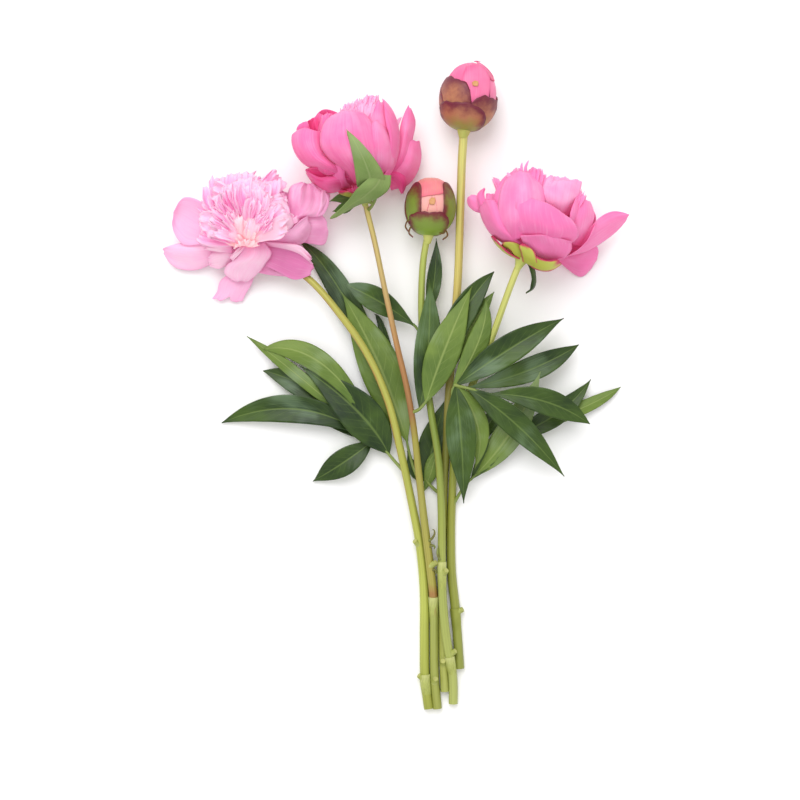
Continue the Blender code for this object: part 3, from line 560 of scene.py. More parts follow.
PALE_BLOOM_PETALS = from_crop(PALE_BLOOM_CROP, [
    # Cupped, at the left.
    Edged(
        [(480, 550, 24), (400, 400, 28), (300, 280, 29), (205, 262, 27), (135, 335, 24)],
        [(480, 578, 20), (330, 590, 18), (190, 588, 15), (132, 505, 15), (116, 405, 19)],
        bulge=-4, tone=0.55, warp=0.8,
    ),
    # Flat and pointed, at the left.
    Edged(
        [(600, 580, 18), (350, 570, 15), (160, 585, 12), (52, 618, 9)],
        [(560, 640, 12), (372, 738, 7), (290, 770, 5), (130, 745, 4), (48, 638, 7)],
        bulge=3, tone=0.72, ruffle=0.5, warp=0.9,
    ),
    # Small ones at the lower left.
    Edged(
        [(540, 590, 26), (430, 588, 25), (345, 603, 22)],
        [(540, 650, 23), (420, 642, 21), (345, 625, 20)],
        bulge=2, tone=0.95, ruffle=0.8,
    ),
    Edged(
        [(600, 600, 22), (480, 635, 21), (400, 650, 18), (366, 695, 15)],
        [(600, 665, 18), (520, 722, 15), (445, 762, 11), (380, 745, 12)],
        bulge=3, tone=0.85, ruffle=1,
    ),
    Edged(
        [(625, 585, 27), (570, 630, 28), (518, 690, 25)],
        [(645, 600, 27), (600, 650, 27), (545, 708, 24)],
        bulge=1, tone=0.95,
    ),
    # Rounded, at the bottom.
    Edged(
        [(640, 600, 27), (570, 690, 24), (500, 740, 19), (485, 790, 14), (560, 852, 10)],
        [(758, 570, 27), (815, 655, 25), (775, 722, 22), (722, 792, 16), (640, 857, 10)],
        bulge=4, tone=0.8, ruffle=0.8, warp=0.9, crown=0.5,
    ),
    # Notched, underneath.
    Edged(
        [(560, 780, 8), (455, 850, 6), (430, 930, 4), (380, 987, 3)],
        [(700, 770, 8), (680, 860, 6), (635, 940, 4), (604, 1010, 2)],
        bulge=1.5, tone=0.55, notch=0.16, jag=0.02,
    ),
    # At the lower right, with a ruffled upper edge.
    # Its lowest tone gives the mauve of its underside. This is partly its own colour and partly painted
    # shade under the ruffled rim that overhangs it.
    Edged(
        [(740, 590, 21), (880, 610, 22), (1020, 640, 22), (1117, 735, 19)],
        [(690, 700, 18), (850, 778, 18), (980, 838, 18), (1107, 800, 17)],
        bulge=0.5, tone=0, warp=0.6,
    ),
    Edged(
        [(740, 700, 17), (820, 735, 15), (935, 785, 12)],
        [(690, 782, 16), (800, 805, 13), (945, 818, 11)],
        bulge=0.5, tone=0.3,
    ),
    Edged(
        [(750, 572, 26), (900, 580, 29), (1020, 603, 28), (1108, 690, 23)],
        [(770, 598, 23), (900, 620, 24), (1005, 655, 24), (1112, 742, 20)],
        bulge=1, tone=0.85, ruffle=1.2, waves=6, jag=0.03,
    ),
    # At the far right.
    Edged(
        [(980, 460, 22), (1078, 388, 24), (1165, 386, 22), (1208, 440, 19)],
        [(980, 565, 16), (1090, 587, 15), (1185, 592, 13), (1215, 510, 15)],
        bulge=2.5, tone=0.25, curl=0.8,
    ),
    # Ruffled, at the upper right.
    Edged(
        [(860, 500, 26), (928, 400, 30), (925, 280, 30), (948, 185, 26), (1035, 153, 23)],
        [(960, 485, 26), (1065, 402, 27), (1172, 390, 24), (1220, 260, 20), (1125, 168, 20)],
        bulge=4, tone=0.3, ruffle=2.2, pleat=0.7, waves=5, warp=1.5,
    ),
    Edged(
        [(1100, 400, 26), (1150, 330, 27), (1162, 240, 25), (1172, 200, 23)],
        [(1172, 397, 24), (1203, 320, 22), (1224, 250, 19), (1216, 208, 19)],
        bulge=2, tone=0.55, ruffle=0.6,
    ),
    # Rolled, at the right.
    Edged(
        [(770, 560, 26), (850, 498, 31), (945, 485, 33), (1020, 422, 33), (1078, 386, 29)],
        [(780, 574, 24), (870, 580, 24), (960, 598, 22), (1045, 577, 20), (1098, 480, 22)],
        bulge=3, tone=0.3, curl=1, warp=0.8,
    ),
    # Standing, at the right of the middle.
    Edged(
        [(730, 580, 30), (742, 480, 38), (800, 395, 43), (860, 345, 42)],
        [(790, 562, 28), (905, 505, 34), (968, 455, 36), (932, 350, 38)],
        bulge=5, tone=0.75, ruffle=0.5, crown=2,
    ),
    Edged(
        [(740, 480, 40), (728, 380, 45), (758, 285, 43)],
        [(900, 460, 36), (945, 380, 38), (915, 272, 38)],
        bulge=4, tone=0.9, ruffle=1.6, jag=0.04, crown=1,
    ),
])
BROAD_CREAM_PETALS = from_crop(PALE_BLOOM_CROP, [
    Edged(
        [(655, 552, 36), (749, 440, 44), (840, 384, 46), (918, 398, 44)],
        [(672, 588, 34), (791, 566, 40), (889, 550, 41), (943, 470, 40)],
        bulge=3, tone=0.75, curl=1.5, ruffle=1.2, jag=0.03, waves=5,
    ),
    Edged(
        [(600, 590, 34), (525, 572, 40), (467, 545, 40), (432, 492, 39)],
        [(612, 552, 36), (542, 452, 44), (472, 396, 45), (428, 420, 43)],
        bulge=3, tone=0.8, curl=1.5, ruffle=1.3, jag=0.03, waves=5,
    ),
    Edged(
        [(640, 560, 38), (640, 470, 47), (668, 400, 49)],
        [(690, 560, 38), (740, 470, 46), (760, 410, 47)],
        bulge=2, tone=0.9, curl=1, ruffle=1.6, jag=0.04, waves=6,
    ),
])
CALYX_SEPALS = from_crop(HALF_BLOOM_CROP, [
    Edged(
        [(450, 650, 46), (540, 715, 47), (625, 742, 45), (690, 732, 43)],
        [(458, 750, 36), (530, 800, 36), (625, 812, 36), (716, 762, 36)],
        bulge=2.5, tone=0.9, curl=0.8,
    ),
    Edged(
        [(445, 640, 44), (400, 612, 47), (340, 606, 46), (296, 610, 42)],
        [(442, 750, 35), (388, 716, 37), (346, 660, 39), (286, 636, 38)],
        bulge=2.5, tone=0.3, curl=0.5,
    ),
    Edged(
        [(440, 745, 37), (428, 680, 46), (418, 630, 51), (440, 612, 52)],
        [(562, 806, 37), (538, 740, 45), (522, 680, 49), (472, 636, 51)],
        bulge=2, tone=0.5, curl=0.5,
    ),
])
BLOOM_BRACTS = from_crop(DEEP_BLOOM_CROP, [
    # The pointed one over the bloom.
    Edged(
        [(576, 790, 52), (562, 680, 61), (548, 580, 66), (524, 460, 70), (488, 333, 69)],
        [(815, 770, 50), (772, 655, 60), (700, 545, 65), (600, 430, 70), (493, 333, 69)],
        bulge=2.5, tone=0.5,
    ),
    # The one that runs down to the left.
    Edged(
        [(850, 700, 52), (838, 795, 50), (745, 880, 45), (590, 935, 40), (372, 1058, 31)],
        [(700, 690, 58), (575, 808, 56), (505, 900, 48), (428, 980, 40), (350, 1040, 32)],
        bulge=2, tone=0.5, curl=0.5,
    ),
])
CREAM = Placed(line=(), half_width=1, claw=0.35, belly=0.95, tip_drop=0.12)
CREAM_PETALS = from_crop(PALE_BLOOM_CROP, [
    CREAM._replace(
        line=[(620, 590, 30), (540, 550, 39), (480, 470, 43), (425, 395, 40)],
        half_width=8, face=(-0.1, -0.3, 0.95), arch=-18, tip_drop=0.15, tone=0.5, ruffle=1.6, jag=0.05,
            waves=5,
    ),
    CREAM._replace(
        line=[(635, 590, 30), (580, 510, 41), (555, 450, 46), (530, 385, 45)],
        half_width=6.5, face=(0, -0.3, 0.95), arch=-16, tone=0.7, ruffle=2, jag=0.06, waves=6,
    ),
    CREAM._replace(
        line=[(640, 580, 30), (605, 500, 42), (600, 430, 46), (610, 370, 44)],
        half_width=6.5, face=(0, -0.3, 0.95), arch=-16, tone=0.8, ruffle=2, jag=0.06, waves=5, phase=2,
    ),
    CREAM._replace(
        line=[(655, 570, 30), (680, 480, 43), (700, 410, 47), (705, 350, 44)],
        half_width=6.5, face=(0, -0.3, 0.95), arch=-14, tone=0.8, ruffle=2, jag=0.06, waves=6, phase=4,
    ),
    CREAM._replace(
        line=[(660, 590, 30), (720, 520, 42), (770, 450, 45), (800, 390, 43)],
        half_width=6, face=(0.1, -0.3, 0.95), arch=-14, tone=0.8, ruffle=1.6, jag=0.05, waves=5, phase=1,
    ),
    CREAM._replace(
        line=[(650, 590, 30), (660, 540, 42), (665, 500, 46), (670, 455, 46)],
        half_width=5, face=(0, -0.4, 0.9), arch=-10, tone=0.95, ruffle=1.6, jag=0.08, waves=6, phase=3,
    ),
    CREAM._replace(
        line=[(660, 590, 28), (700, 560, 38), (720, 530, 42), (735, 485, 42)],
        half_width=4.5, face=(0.2, -0.3, 0.95), arch=-8, tone=0.9, ruffle=1.4, jag=0.08, waves=6,
    ),
    CREAM._replace(
        line=[(630, 600, 27), (590, 575, 37), (560, 545, 41), (535, 510, 42)],
        half_width=4.5, face=(-0.2, -0.4, 0.9), arch=-8, tone=0.95, ruffle=1.4, jag=0.08, waves=5,
            phase=2,
    ),
    CREAM._replace(
        line=[(640, 600, 26), (600, 600, 36), (575, 600, 40), (550, 585, 41)],
        half_width=4, face=(-0.2, -0.5, 0.85), arch=-7, tone=0.9, ruffle=1.2, jag=0.08, waves=5, phase=5,
    ),
    CREAM._replace(
        line=[(640, 605, 26), (640, 590, 36), (640, 570, 41), (640, 540, 42)],
        half_width=4, face=(0, -0.6, 0.8), arch=-7, tone=1, ruffle=1.2, jag=0.08, waves=6, phase=1,
    ),
    CREAM._replace(
        line=[(650, 610, 26), (680, 605, 34), (700, 590, 38), (725, 565, 39)],
        half_width=3.6, face=(0.3, -0.6, 0.8), arch=-7, tone=0.95, ruffle=1, jag=0.08, waves=5, phase=4,
    ),
])
STRAND = Placed(line=(), half_width=1, arch=4, claw=0.6)
PALE_BLOOM_STRANDS = from_crop(PALE_BLOOM_CROP, [
    STRAND._replace(
        line=[(560, 575, 28), (460, 560, 30), (390, 520, 30), (320, 455, 28)],
        half_width=2.6, tone=0.4, ruffle=0.4,
    ),
    STRAND._replace(
        line=[(560, 560, 30), (470, 530, 32), (400, 480, 33), (340, 410, 31)],
        half_width=2.8, tone=0.5, ruffle=0.5,
    ),
    STRAND._replace(
        line=[(570, 585, 26), (480, 580, 27), (400, 555, 27), (330, 510, 25)],
        half_width=2.4, tone=0.35, ruffle=0.4,
    ),
    STRAND._replace(
        line=[(560, 545, 32), (480, 500, 36), (420, 440, 37), (370, 370, 34)],
        half_width=3.2, tone=0.5, ruffle=0.6,
    ),
])
DEEP_FRINGE = Placed(line=(), half_width=1, face=(0.2, 0.3, 0.9), arch=4, claw=0.6, ruffle=1)
TOP_FRINGE = Placed(
    line=(), half_width=1, face=(0, 0.2, 0.95), arch=8, belly=0.95, tip_drop=0.2, jag=0.12, ruffle=1.6
)
THREAD = Placed(line=(), half_width=1, claw=0.6, tone=0.45)
HALF_BLOOM_FRINGE = from_crop(HALF_BLOOM_CROP, [
    DEEP_FRINGE._replace(
        line=[(760, 440, 42), (775, 370, 47), (800, 300, 46), (822, 228, 41)],
        half_width=2.2, tone=0.2, jag=0.1,
    ),
    DEEP_FRINGE._replace(
        line=[(765, 440, 42), (790, 370, 47), (822, 300, 45), (846, 226, 40)],
        half_width=2.4, tone=0.35, jag=0.12, phase=2,
    ),
    DEEP_FRINGE._replace(
        line=[(770, 440, 42), (805, 380, 46), (845, 310, 44), (872, 240, 38)],
        half_width=2.2, tone=0.5, jag=0.12, phase=4,
    ),
    DEEP_FRINGE._replace(
        line=[(770, 440, 40), (810, 400, 43), (850, 340, 42), (880, 275, 38)],
        half_width=1.8, tone=0.2, jag=0.1, phase=1,
    ),
    TOP_FRINGE._replace(
        line=[(480, 260, 52), (490, 180, 52), (495, 130, 49), (492, 82, 43)],
        half_width=3.4, tone=0.45, waves=5,
    ),
    TOP_FRINGE._replace(
        line=[(520, 260, 50), (520, 180, 51), (525, 120, 49), (524, 74, 43)],
        half_width=3.6, tone=0.4, waves=6, phase=3,
    ),
    TOP_FRINGE._replace(
        line=[(545, 270, 49), (550, 190, 50), (556, 135, 47), (560, 88, 42)],
        half_width=3.4, tone=0.5, waves=5, phase=1,
    ),
    TOP_FRINGE._replace(
        line=[(560, 280, 49), (568, 210, 49), (575, 160, 46), (582, 118, 42)],
        half_width=3, tone=0.55, ruffle=1.4, waves=6, phase=5,
    ),
    THREAD._replace(
        line=[(450, 240, 46), (435, 150, 47), (422, 110, 44), (408, 95, 41)],
        half_width=1.5, arch=-3,
    ),
    THREAD._replace(
        line=[(455, 240, 46), (440, 150, 48), (430, 100, 46), (434, 52, 42)],
        half_width=0.9, arch=-2,
    ),
    THREAD._replace(
        line=[(460, 240, 46), (452, 150, 48), (458, 90, 46), (480, 38, 42)],
        half_width=0.9, arch=-2,
    ),
])
CURLED_BRACT = from_crop(HALF_BLOOM_CROP, [
    Placed(
        line=[(462, 738, 30), (495, 775, 33), (522, 860, 30), (515, 930, 24), (462, 968, 18)],
        half_width=2.4, face=(0.7, 0, 0.7), arch=-5, tip_drop=0.5, tone=0.5, belly=0.4,
    ),
])


def spiral(count, seed, lean_out, length, half_width, root_radius, turn_in, tones):
    """Narrow inner petals on a golden-angle spiral, upright at the middle and leaning at the rim."""
    draw = random.Random(seed)
    petals = []
    for index in range(count):
        share = (index + 0.5) / count
        lean = lean_out * share**0.6
        petals.append(
            Petal(
                azimuth=GOLDEN_ANGLE * index + draw.uniform(-9, 9),
                length=length * draw.uniform(0.84, 1.08),
                half_width=half_width * draw.uniform(0.6, 1.2),
                lean_root=lean + draw.uniform(-4, 4),
                lean_tip=lean * turn_in + draw.uniform(-16, 16),
                cup_radius=draw.uniform(5, 13),
                root_radius=root_radius * math.sqrt(share),
                claw=0.4,
                tip_drop=0.25,
                ruffle=draw.uniform(0.8, 2.6),
                waves=draw.uniform(2.5, 5),
                phase=draw.uniform(0, 6),
                jag=draw.uniform(0.01, 0.05),
                twist=draw.uniform(-40, 40),
                tone=draw.uniform(*tones),
            )
        )
    return petals


def upper(petals, least=0.0):
    """Those of the petals about an axis that are on the side away from the table."""
    return [petal for petal in petals if math.sin(math.radians(petal.azimuth)) > least]


def nested(petal, depth, **changes):
    """The same cupped petal, this far inside the layer that it is written for."""
    bend = math.radians(petal.lean_root - petal.lean_tip)
    inner = petal._replace(length=petal.length - depth * bend, root_height=petal.root_height + depth)
    return inner._replace(**changes)


DOME_MIDDLE = (-102.0, 101.0)
# The dome's layers of strands: how many, the first and last way that they point, how far they reach, the
# heights of their tips and of their highest points, their half width and their tone.
DOME_LAYERS = [
    (11, 14, 176, 52, 16, 26, 9.0, 0.5),
    (11, 16, 174, 50, 25, 34, 9.0, 0.6),
    (11, 20, 170, 47, 34, 43, 8.5, 0.7),
    (10, 24, 168, 42, 42, 48, 8.0, 0.8),
    (9, 26, 168, 36, 48, 50, 7.0, 0.85),
    (7, 26, 168, 28, 52, 48, 6.0, 0.9),
    (8, 90, 160, 40, 47, 52, 4.0, 0.4),
    (5, 40, 90, 30, 52, 52, 4.0, 0.7),
]


def dome_strands(seed):
    """The long narrow inner petals of the open bloom, in layers from the table side up to the top."""
    draw = random.Random(seed)
    strands = []
    for count, first, last, far, tip_height, top, half_width, tone in DOME_LAYERS:
        for index in range(count):
            way = math.radians(first + (last - first) * (index + draw.uniform(0.1, 0.9)) / count)
            reach = far * (0.64 + 0.36 * math.sin(way) ** 1.5) * draw.uniform(0.9, 1.03)
            line = []
            for part, height in ((0.16, 27), (0.42, 0.6 * top + 12), (0.75, top), (1.0, tip_height)):
                out = part * reach
                bend = way + draw.uniform(-0.07, 0.07)
                x = DOME_MIDDLE[0] + out * math.cos(bend)
                y = DOME_MIDDLE[1] + out * math.sin(bend)
                line.append((x, y, height + draw.uniform(-1.5, 1.5)))
            strands.append(
                Placed(
                    tuple(line),
                    half_width * draw.uniform(0.7, 1.1),
                    face=(draw.uniform(-0.5, 0.5), draw.uniform(-0.3, 0.3), 1),
                    arch=draw.choice((-1, 1, 1)) * draw.uniform(13, 28),
                    claw=0.35,
                    belly=0.95,
                    tip_drop=draw.uniform(0.1, 0.2),
                    ruffle=draw.uniform(1.2, 2.6),
                    waves=draw.uniform(4, 8),
                    phase=draw.uniform(0, 6),
                    pleat=draw.uniform(0.3, 0.9),
                    jag=draw.uniform(0.03, 0.09),
                    curl=draw.uniform(-3, 3),
                    tone=tone + draw.uniform(-0.15, 0.15),
                )
            )
    return strands


def tuft(seed, count, root, start, end, half_width, tone):
    """Frilled petals from one root to tips along a line from start to end."""
    draw = random.Random(seed)
    root, start, end = (np.array(point, float) for point in (root, start, end))
    petals = []
    for index in range(count):
        share = (index + draw.uniform(0.2, 0.8)) / count
        tip = start + (end - start) * share + [draw.uniform(-1.5, 1.5) for _ in range(3)]
        foot = root + 0.3 * (end - start) * (share - 0.5)
        bends = [foot + (tip - foot) * part + [0, 0, lift] for part, lift in ((0.4, 3.5), (0.75, 3.0))]
        petals.append(
            Placed(
                (tuple(foot), tuple(bends[0]), tuple(bends[1]), tuple(tip)),
                half_width * draw.uniform(0.7, 1.2),
                face=(draw.uniform(-0.4, 0.4), draw.uniform(-0.2, 0.4), 1),
                arch=draw.choice((-1, 1)) * draw.uniform(6, 14),
                belly=0.95,
                tip_drop=draw.uniform(0.1, 0.25),
                ruffle=draw.uniform(1.0, 2.2),
                waves=draw.uniform(4, 8),
                phase=draw.uniform(0, 6),
                pleat=draw.uniform(0.2, 0.6),
                jag=draw.uniform(0.03, 0.09),
                tone=tone + draw.uniform(-0.15, 0.1),
            )
        )
    return petals


def pale_bloom_petals():
    """The fully open bloom: guard petals behind, and short upright petals at the top of its dome."""
    guards = [
        Petal(80, 42, 21, 84, 60, 32, ruffle=2.0, waves=5, jag=0.03, tone=0.6),
        Petal(126, 42, 22, 84, 60, 32, ruffle=2.0, waves=5, jag=0.03, tone=0.6),
        Petal(100, 43, 22, 88, 74, 40, ruffle=2.2, waves=4, jag=0.03),
        Petal(56, 40, 18, 86, 70, 36, ruffle=2.2, waves=4, jag=0.03),
        Petal(150, 38, 18, 84, 66, 36, ruffle=2.0, waves=4, jag=0.03),
    ]
    top = spiral(
        count=46, seed=11, lean_out=50, length=32, half_width=7.0, root_radius=9.0,
        turn_in=0.6, tones=(0.65, 1.0),
    )
    return guards, upper(top, -0.1)


def deep_bloom_petals():
    """A round half-open bloom on its side: its cupped petals at the back and a frill inside."""
    cup = Petal(0, 76, 23, 90, -34, 30, knee=1.3, straight=0.3, claw=0.3, tip_drop=0.25, curl=-1.0)
    cups = [
        nested(cup, 0, azimuth=10, half_width=22, tone=0.6),
        nested(cup, 0, azimuth=140, tone=0.4),
        nested(cup, 3.4, azimuth=76),
        nested(cup, 7, azimuth=205, half_width=19, tone=0.3),
        nested(cup, 12, azimuth=320, half_width=18),
    ]
    frill = spiral(
        count=64, seed=23, lean_out=18, length=57, half_width=9.0, root_radius=12.0,
        turn_in=1.3, tones=(0.75, 1.0),
    )
    return cups, upper(frill)


def half_bloom_petals():
    """A half-open bloom on its side, leaning to the right."""
    cup = Petal(0, 84, 27, 92, -38, 36, knee=1.1, claw=0.3, tip_drop=0.25, curl=-1.0)
    cups = [
        nested(cup, 0, azimuth=14, length=70, lean_tip=-16),
        nested(cup, 5.0, azimuth=125, length=66, half_width=24),
        nested(cup, 7.0, azimuth=76),
        nested(cup, 14.0, azimuth=330, half_width=16),
    ]
    frill = spiral(
        count=64, seed=37, lean_out=26, length=56, half_width=9.0, root_radius=12.0,
        turn_in=1.3, tones=(0.6, 1.0),
    )
    return cups, upper(frill)


# Three rows of frilled petals at the top of the deep pink bloom, from the front one to the back.
DEEP_BLOOM_TUFT = (
    tuft(61, 9, root=(-25, 166, 42), start=(-37, 189, 45), end=(-12, 195, 43), half_width=4.6, tone=0.9)
    + tuft(62, 9, root=(-25, 166, 36), start=(-35, 193, 39), end=(-13, 201, 37), half_width=4.6, tone=1.0)
    + tuft(63, 8, root=(-25, 166, 30), start=(-32, 195, 31), end=(-14, 203, 30), half_width=4.6, tone=1.0)
)

# Each bud's egg: its radius, its length and how far its foot is from its seat.
BUDS = {"green_bud": (15.8, 36.5, -2.0), "tall_bud": (17.3, 41.5, -1.5)}
BUD_PETALS = {
    "green_bud": [
        Patch(50, 13, 120, 190, -0.4, tone=0.3),
        Patch(140, 13, 120, 190, -0.6, tone=0.3),
        Patch(30, 15, 30, 172, 0.1, 0.2, tone=0.3),
        Patch(90, 16, 30, 170, 0.0, 0.2, tone=0.3),
        Patch(150, 15, 30, 172, 0.2, 0.2, tone=0.3),
        Patch(210, 15, 30, 170, 0.3, 0.2, tone=0.3),
        Patch(330, 15, 30, 170, 0.3, 0.2, tone=0.3),
        Patch(266, 14, 30, 176, 0.5, 0.3, tip_drop=0.25, claw=0.7, tone=0.95),
        Patch(262, 15, 178, 104, 0.9, 0.35, slant=15, tip_drop=0.1, tone=0.3),
    ],
    "tall_bud": [
        Patch(50, 15, 120, 190, -0.5, tone=0.4),
        Patch(140, 15, 120, 190, -0.7, tone=0.4),
        Patch(20, 19, 30, 172, 0.1, 0.3, jag=0.02),
        Patch(80, 19, 30, 170, 0.3, 0.3, jag=0.02),
        Patch(140, 19, 30, 172, 0.5, 0.3, jag=0.02),
        Patch(200, 18, 30, 168, 0.6, 1.0, jag=0.03, tone=0.6),
        Patch(250, 15, 30, 176, 0.8, 0.9, tip_drop=0.35, jag=0.03),
        Patch(300, 14, 30, 172, 1.2, 1.4, tip_drop=0.35, jag=0.03, phase=2, tone=0.75),
        Patch(276, 10, 30, 158, 1.9, 1.2, tip_drop=0.5, jag=0.02, phase=4, tone=0.65),
        Patch(325, 5, 120, 188, 2.2, 1.8, jag=0.05, tone=0.4),
        Patch(345, 4, 130, 192, 2.4, 2.0, jag=0.05),
    ],
}
BUD_SEPALS = {
    "green_bud": [
        Patch(200, 12, 4, 138, 1.3, 0.5, tip_drop=0.4),
        Patch(338, 11.5, 4, 146, 1.4, 0.6, tip_drop=0.4, phase=2),
        Patch(264, 14, 4, 78, 2.1, 0.2, claw=0.6, tip_drop=0.18, jag=0.03, phase=1, tone=0.9),
        Patch(90, 17, 4, 130, 1.2, 0.4),
        Patch(146, 12, 4, 120, 1.6, 0.4, tone=0.4),
    ],
    "tall_bud": [
        Patch(218, 15, 4, 118, 2.2, 0.3, tip_drop=0.35, jag=0.02, tone=0.7),
        Patch(310, 15, 4, 92, 2.6, 1.0, tip_drop=0.4, jag=0.03, phase=2, tone=0.4),
        Patch(243, 18, 4, 77, 3.2, 0.2, claw=0.6, tip_drop=0.3, jag=0.03, phase=3),
        Patch(90, 20, 4, 120, 1.6, 0.4, tone=0.4),
        Patch(150, 16, 4, 100, 2.2, 0.4, tone=0.4),
        Patch(30, 15, 4, 104, 2.2, 0.4, tone=0.4),
    ],
}
# Thin dry hairs at the foot of the small bud, each through four points.
BUD_HAIRS = [
    [(17.5, 110, 18), (10.5, 111, 22), (9, 106.5, 21), (11.5, 104, 20)],
    [(16.5, 112, 20), (8.5, 115.5, 22), (6.6, 111, 21), (8.4, 108, 20)],
    [(27, 110, 19), (33.5, 109.5, 21), (35.5, 105, 20), (32.5, 102.5, 18)],
    [(26, 109, 22), (30, 106.5, 23), (33, 106.5, 22), (34.5, 110, 22)],
]
BUD_SPOTS = {
    "green_bud": [Patch(268, 2.0, 88, 104, 1.15, jag=0.1, claw=0.7)],
    "tall_bud": [Patch(271, 1.9, 101, 111, 2.9, jag=0.1, claw=0.7)],
}

SEPAL = Petal(0, 26, 9.5, 98, 66, 26, root_radius=1.2, root_height=-3.0, claw=0.5)


def ring(count, start, petal, seed):
    """Copies of one petal spaced evenly round the axis, each a little different."""
    draw = random.Random(seed)
    return [
        petal._replace(
            azimuth=start + 360 / count * index + draw.uniform(-5, 5),
            length=petal.length * draw.uniform(0.97, 1.03),
            half_width=petal.half_width * draw.uniform(0.94, 1.04),
            phase=draw.uniform(0, 6),
        )
        for index in range(count)
    ]


SEPALS = {
    "pale_bloom": ring(
        5, 20,
        SEPAL._replace(length=14, half_width=7, lean_root=100, lean_tip=106, root_height=-4.5),
        seed=51,
    ),
    "deep_bloom": ring(5, 0, SEPAL._replace(length=18, half_width=8, lean_tip=45), seed=53),
    "half_bloom": ring(5, 12, SEPAL._replace(length=26, lean_tip=45), seed=55)[:3],
}

PETALS = {"pale_bloom": pale_bloom_petals, "deep_bloom": deep_bloom_petals, "half_bloom": half_bloom_petals}
EDGED = {"pale_bloom": PALE_BLOOM_PETALS, "deep_bloom": DEEP_BLOOM_PETALS, "half_bloom": HALF_BLOOM_PETALS}
STRANDS = {
    "pale_bloom": dome_strands(5) + PALE_BLOOM_STRANDS,
    "deep_bloom": DEEP_BLOOM_TUFT,
    "half_bloom": HALF_BLOOM_FRINGE,
}


def unit(vectors):
    """The same directions, each with a length of 1."""
    return vectors / np.linalg.norm(vectors, axis=1)[:, None]


def along_route(route, share):
    """Points of a route at shares of its length, from 0 to 1."""
    evenly = np.linspace(0, 1, len(route))
    return np.stack([np.interp(share, evenly, route[:, axis]) for axis in range(3)], axis=1)


def smooth_route(points, steps):
    """Points evenly along a smooth curve through the given ones."""
    points = np.array(points, float)
    run = np.concatenate([[0], np.cumsum(np.linalg.norm(np.diff(points, axis=0), axis=1))])
    slopes = np.gradient(points, run, axis=0)
    at = np.linspace(0, run[-1], steps + 1)
    index = np.clip(np.searchsorted(run, at, side="right") - 1, 0, len(points) - 2)
    gap = (run[index + 1] - run[index])[:, None]
    t = (at - run[index])[:, None] / gap
    near, far = points[index], points[index + 1]
    return (
        (2 * t**3 - 3 * t**2 + 1) * near
        + (t**3 - 2 * t**2 + t) * gap * slopes[index]
        + (3 * t**2 - 2 * t**3) * far
        + (t**3 - t**2) * gap * slopes[index + 1]
    )


def in_bouquet(flower, points):
    """Points in a flower's own coordinates, with its axis along +Z, as places in the bouquet."""
    turn = Vector((0, 0, 1)).rotation_difference(Vector(flower.axis).normalized())
    return points @ np.array(turn.to_matrix()).T + np.array(Vector(flower.seat))


def petal_edge(petal, across):
    """How far short of its full length a petal ends, as a share, from one side to the other."""
    rounding = 1 - np.sqrt(1 - np.minimum(np.abs(across), 1) ** 2.4)
    teeth = 1 + 0.6 * np.sin(7.3 * across + petal.phase) + 0.4 * np.sin(17 * across + 2 * petal.phase)
    uneven = 0.02 + 0.02 * np.sin(3.6 * across + petal.phase + 9 * petal.tone)
    notch = petal.notch * np.exp(-((across / 0.2) ** 2))
    return petal.tip_drop * rounding + notch + petal.jag * teeth + uneven


def side_offset(petal, across, reach, belly):
    """How far to the side a point of a petal is. It widens from its claw to its belly."""
    widening = np.sin(math.pi / 2 * np.minimum(reach / belly, 1)) ** 0.9
    return across * petal.half_width * (petal.claw + (1 - petal.claw) * widening)


def ruffles(petal, across, reach):
    """How far the waves of a petal stand out, which grow towards its tip."""
    wave = np.sin(petal.waves * across + petal.phase) + 0.5 * np.sin(2.7 * petal.waves * across)
    return petal.ruffle * reach**2 * wave


def tip_curl(petal, along):
    """How far a petal's last fifth curls."""
    return petal.curl * np.clip((along - 0.8) / 0.2, 0, 1) ** 2


def petal_surface(petal, across, along):
    """Points of a petal's surface in flower coordinates. across runs -1 to 1 and along 0 to 1."""
    share = np.linspace(0, 1, ROUTE_STEPS + 1)
    fall = 1 - 2 * share
    left = (1 + (1 - petal.straight) * fall + petal.straight * fall**3) / 2
    lean = np.radians(petal.lean_tip + (petal.lean_root - petal.lean_tip) * left**petal.knee)
    middle = (lean[1:] + lean[:-1]) / 2
    step = petal.length / ROUTE_STEPS
    radius = petal.root_radius + np.concatenate([[0], np.cumsum(np.sin(middle)) * step])
    height = petal.root_height + np.concatenate([[0], np.cumsum(np.cos(middle)) * step])

    reach = along * (1 - petal_edge(petal, across))
    here = np.interp(reach, share, lean)
    side = side_offset(petal, across, reach, belly=0.72)
    sideways = petal.cup_radius * np.sin(side / petal.cup_radius)
    inward = petal.cup_radius * (1 - np.cos(side / petal.cup_radius))
    inward = inward + ruffles(petal, across, reach) - tip_curl(petal, along)

    swing = np.radians(petal.twist) * reach
    turned_side = sideways * np.cos(swing) - inward * np.sin(swing)
    turned_in = sideways * np.sin(swing) + inward * np.cos(swing)
    outward = np.interp(reach, share, radius) - np.cos(here) * turned_in
    upward = np.interp(reach, share, height) + np.sin(here) * turned_in
    turn = math.radians(petal.azimuth)
    x = outward * math.cos(turn) - turned_side * math.sin(turn)
    y = outward * math.sin(turn) + turned_side * math.cos(turn)
    return np.stack([x, y, upward], axis=1)


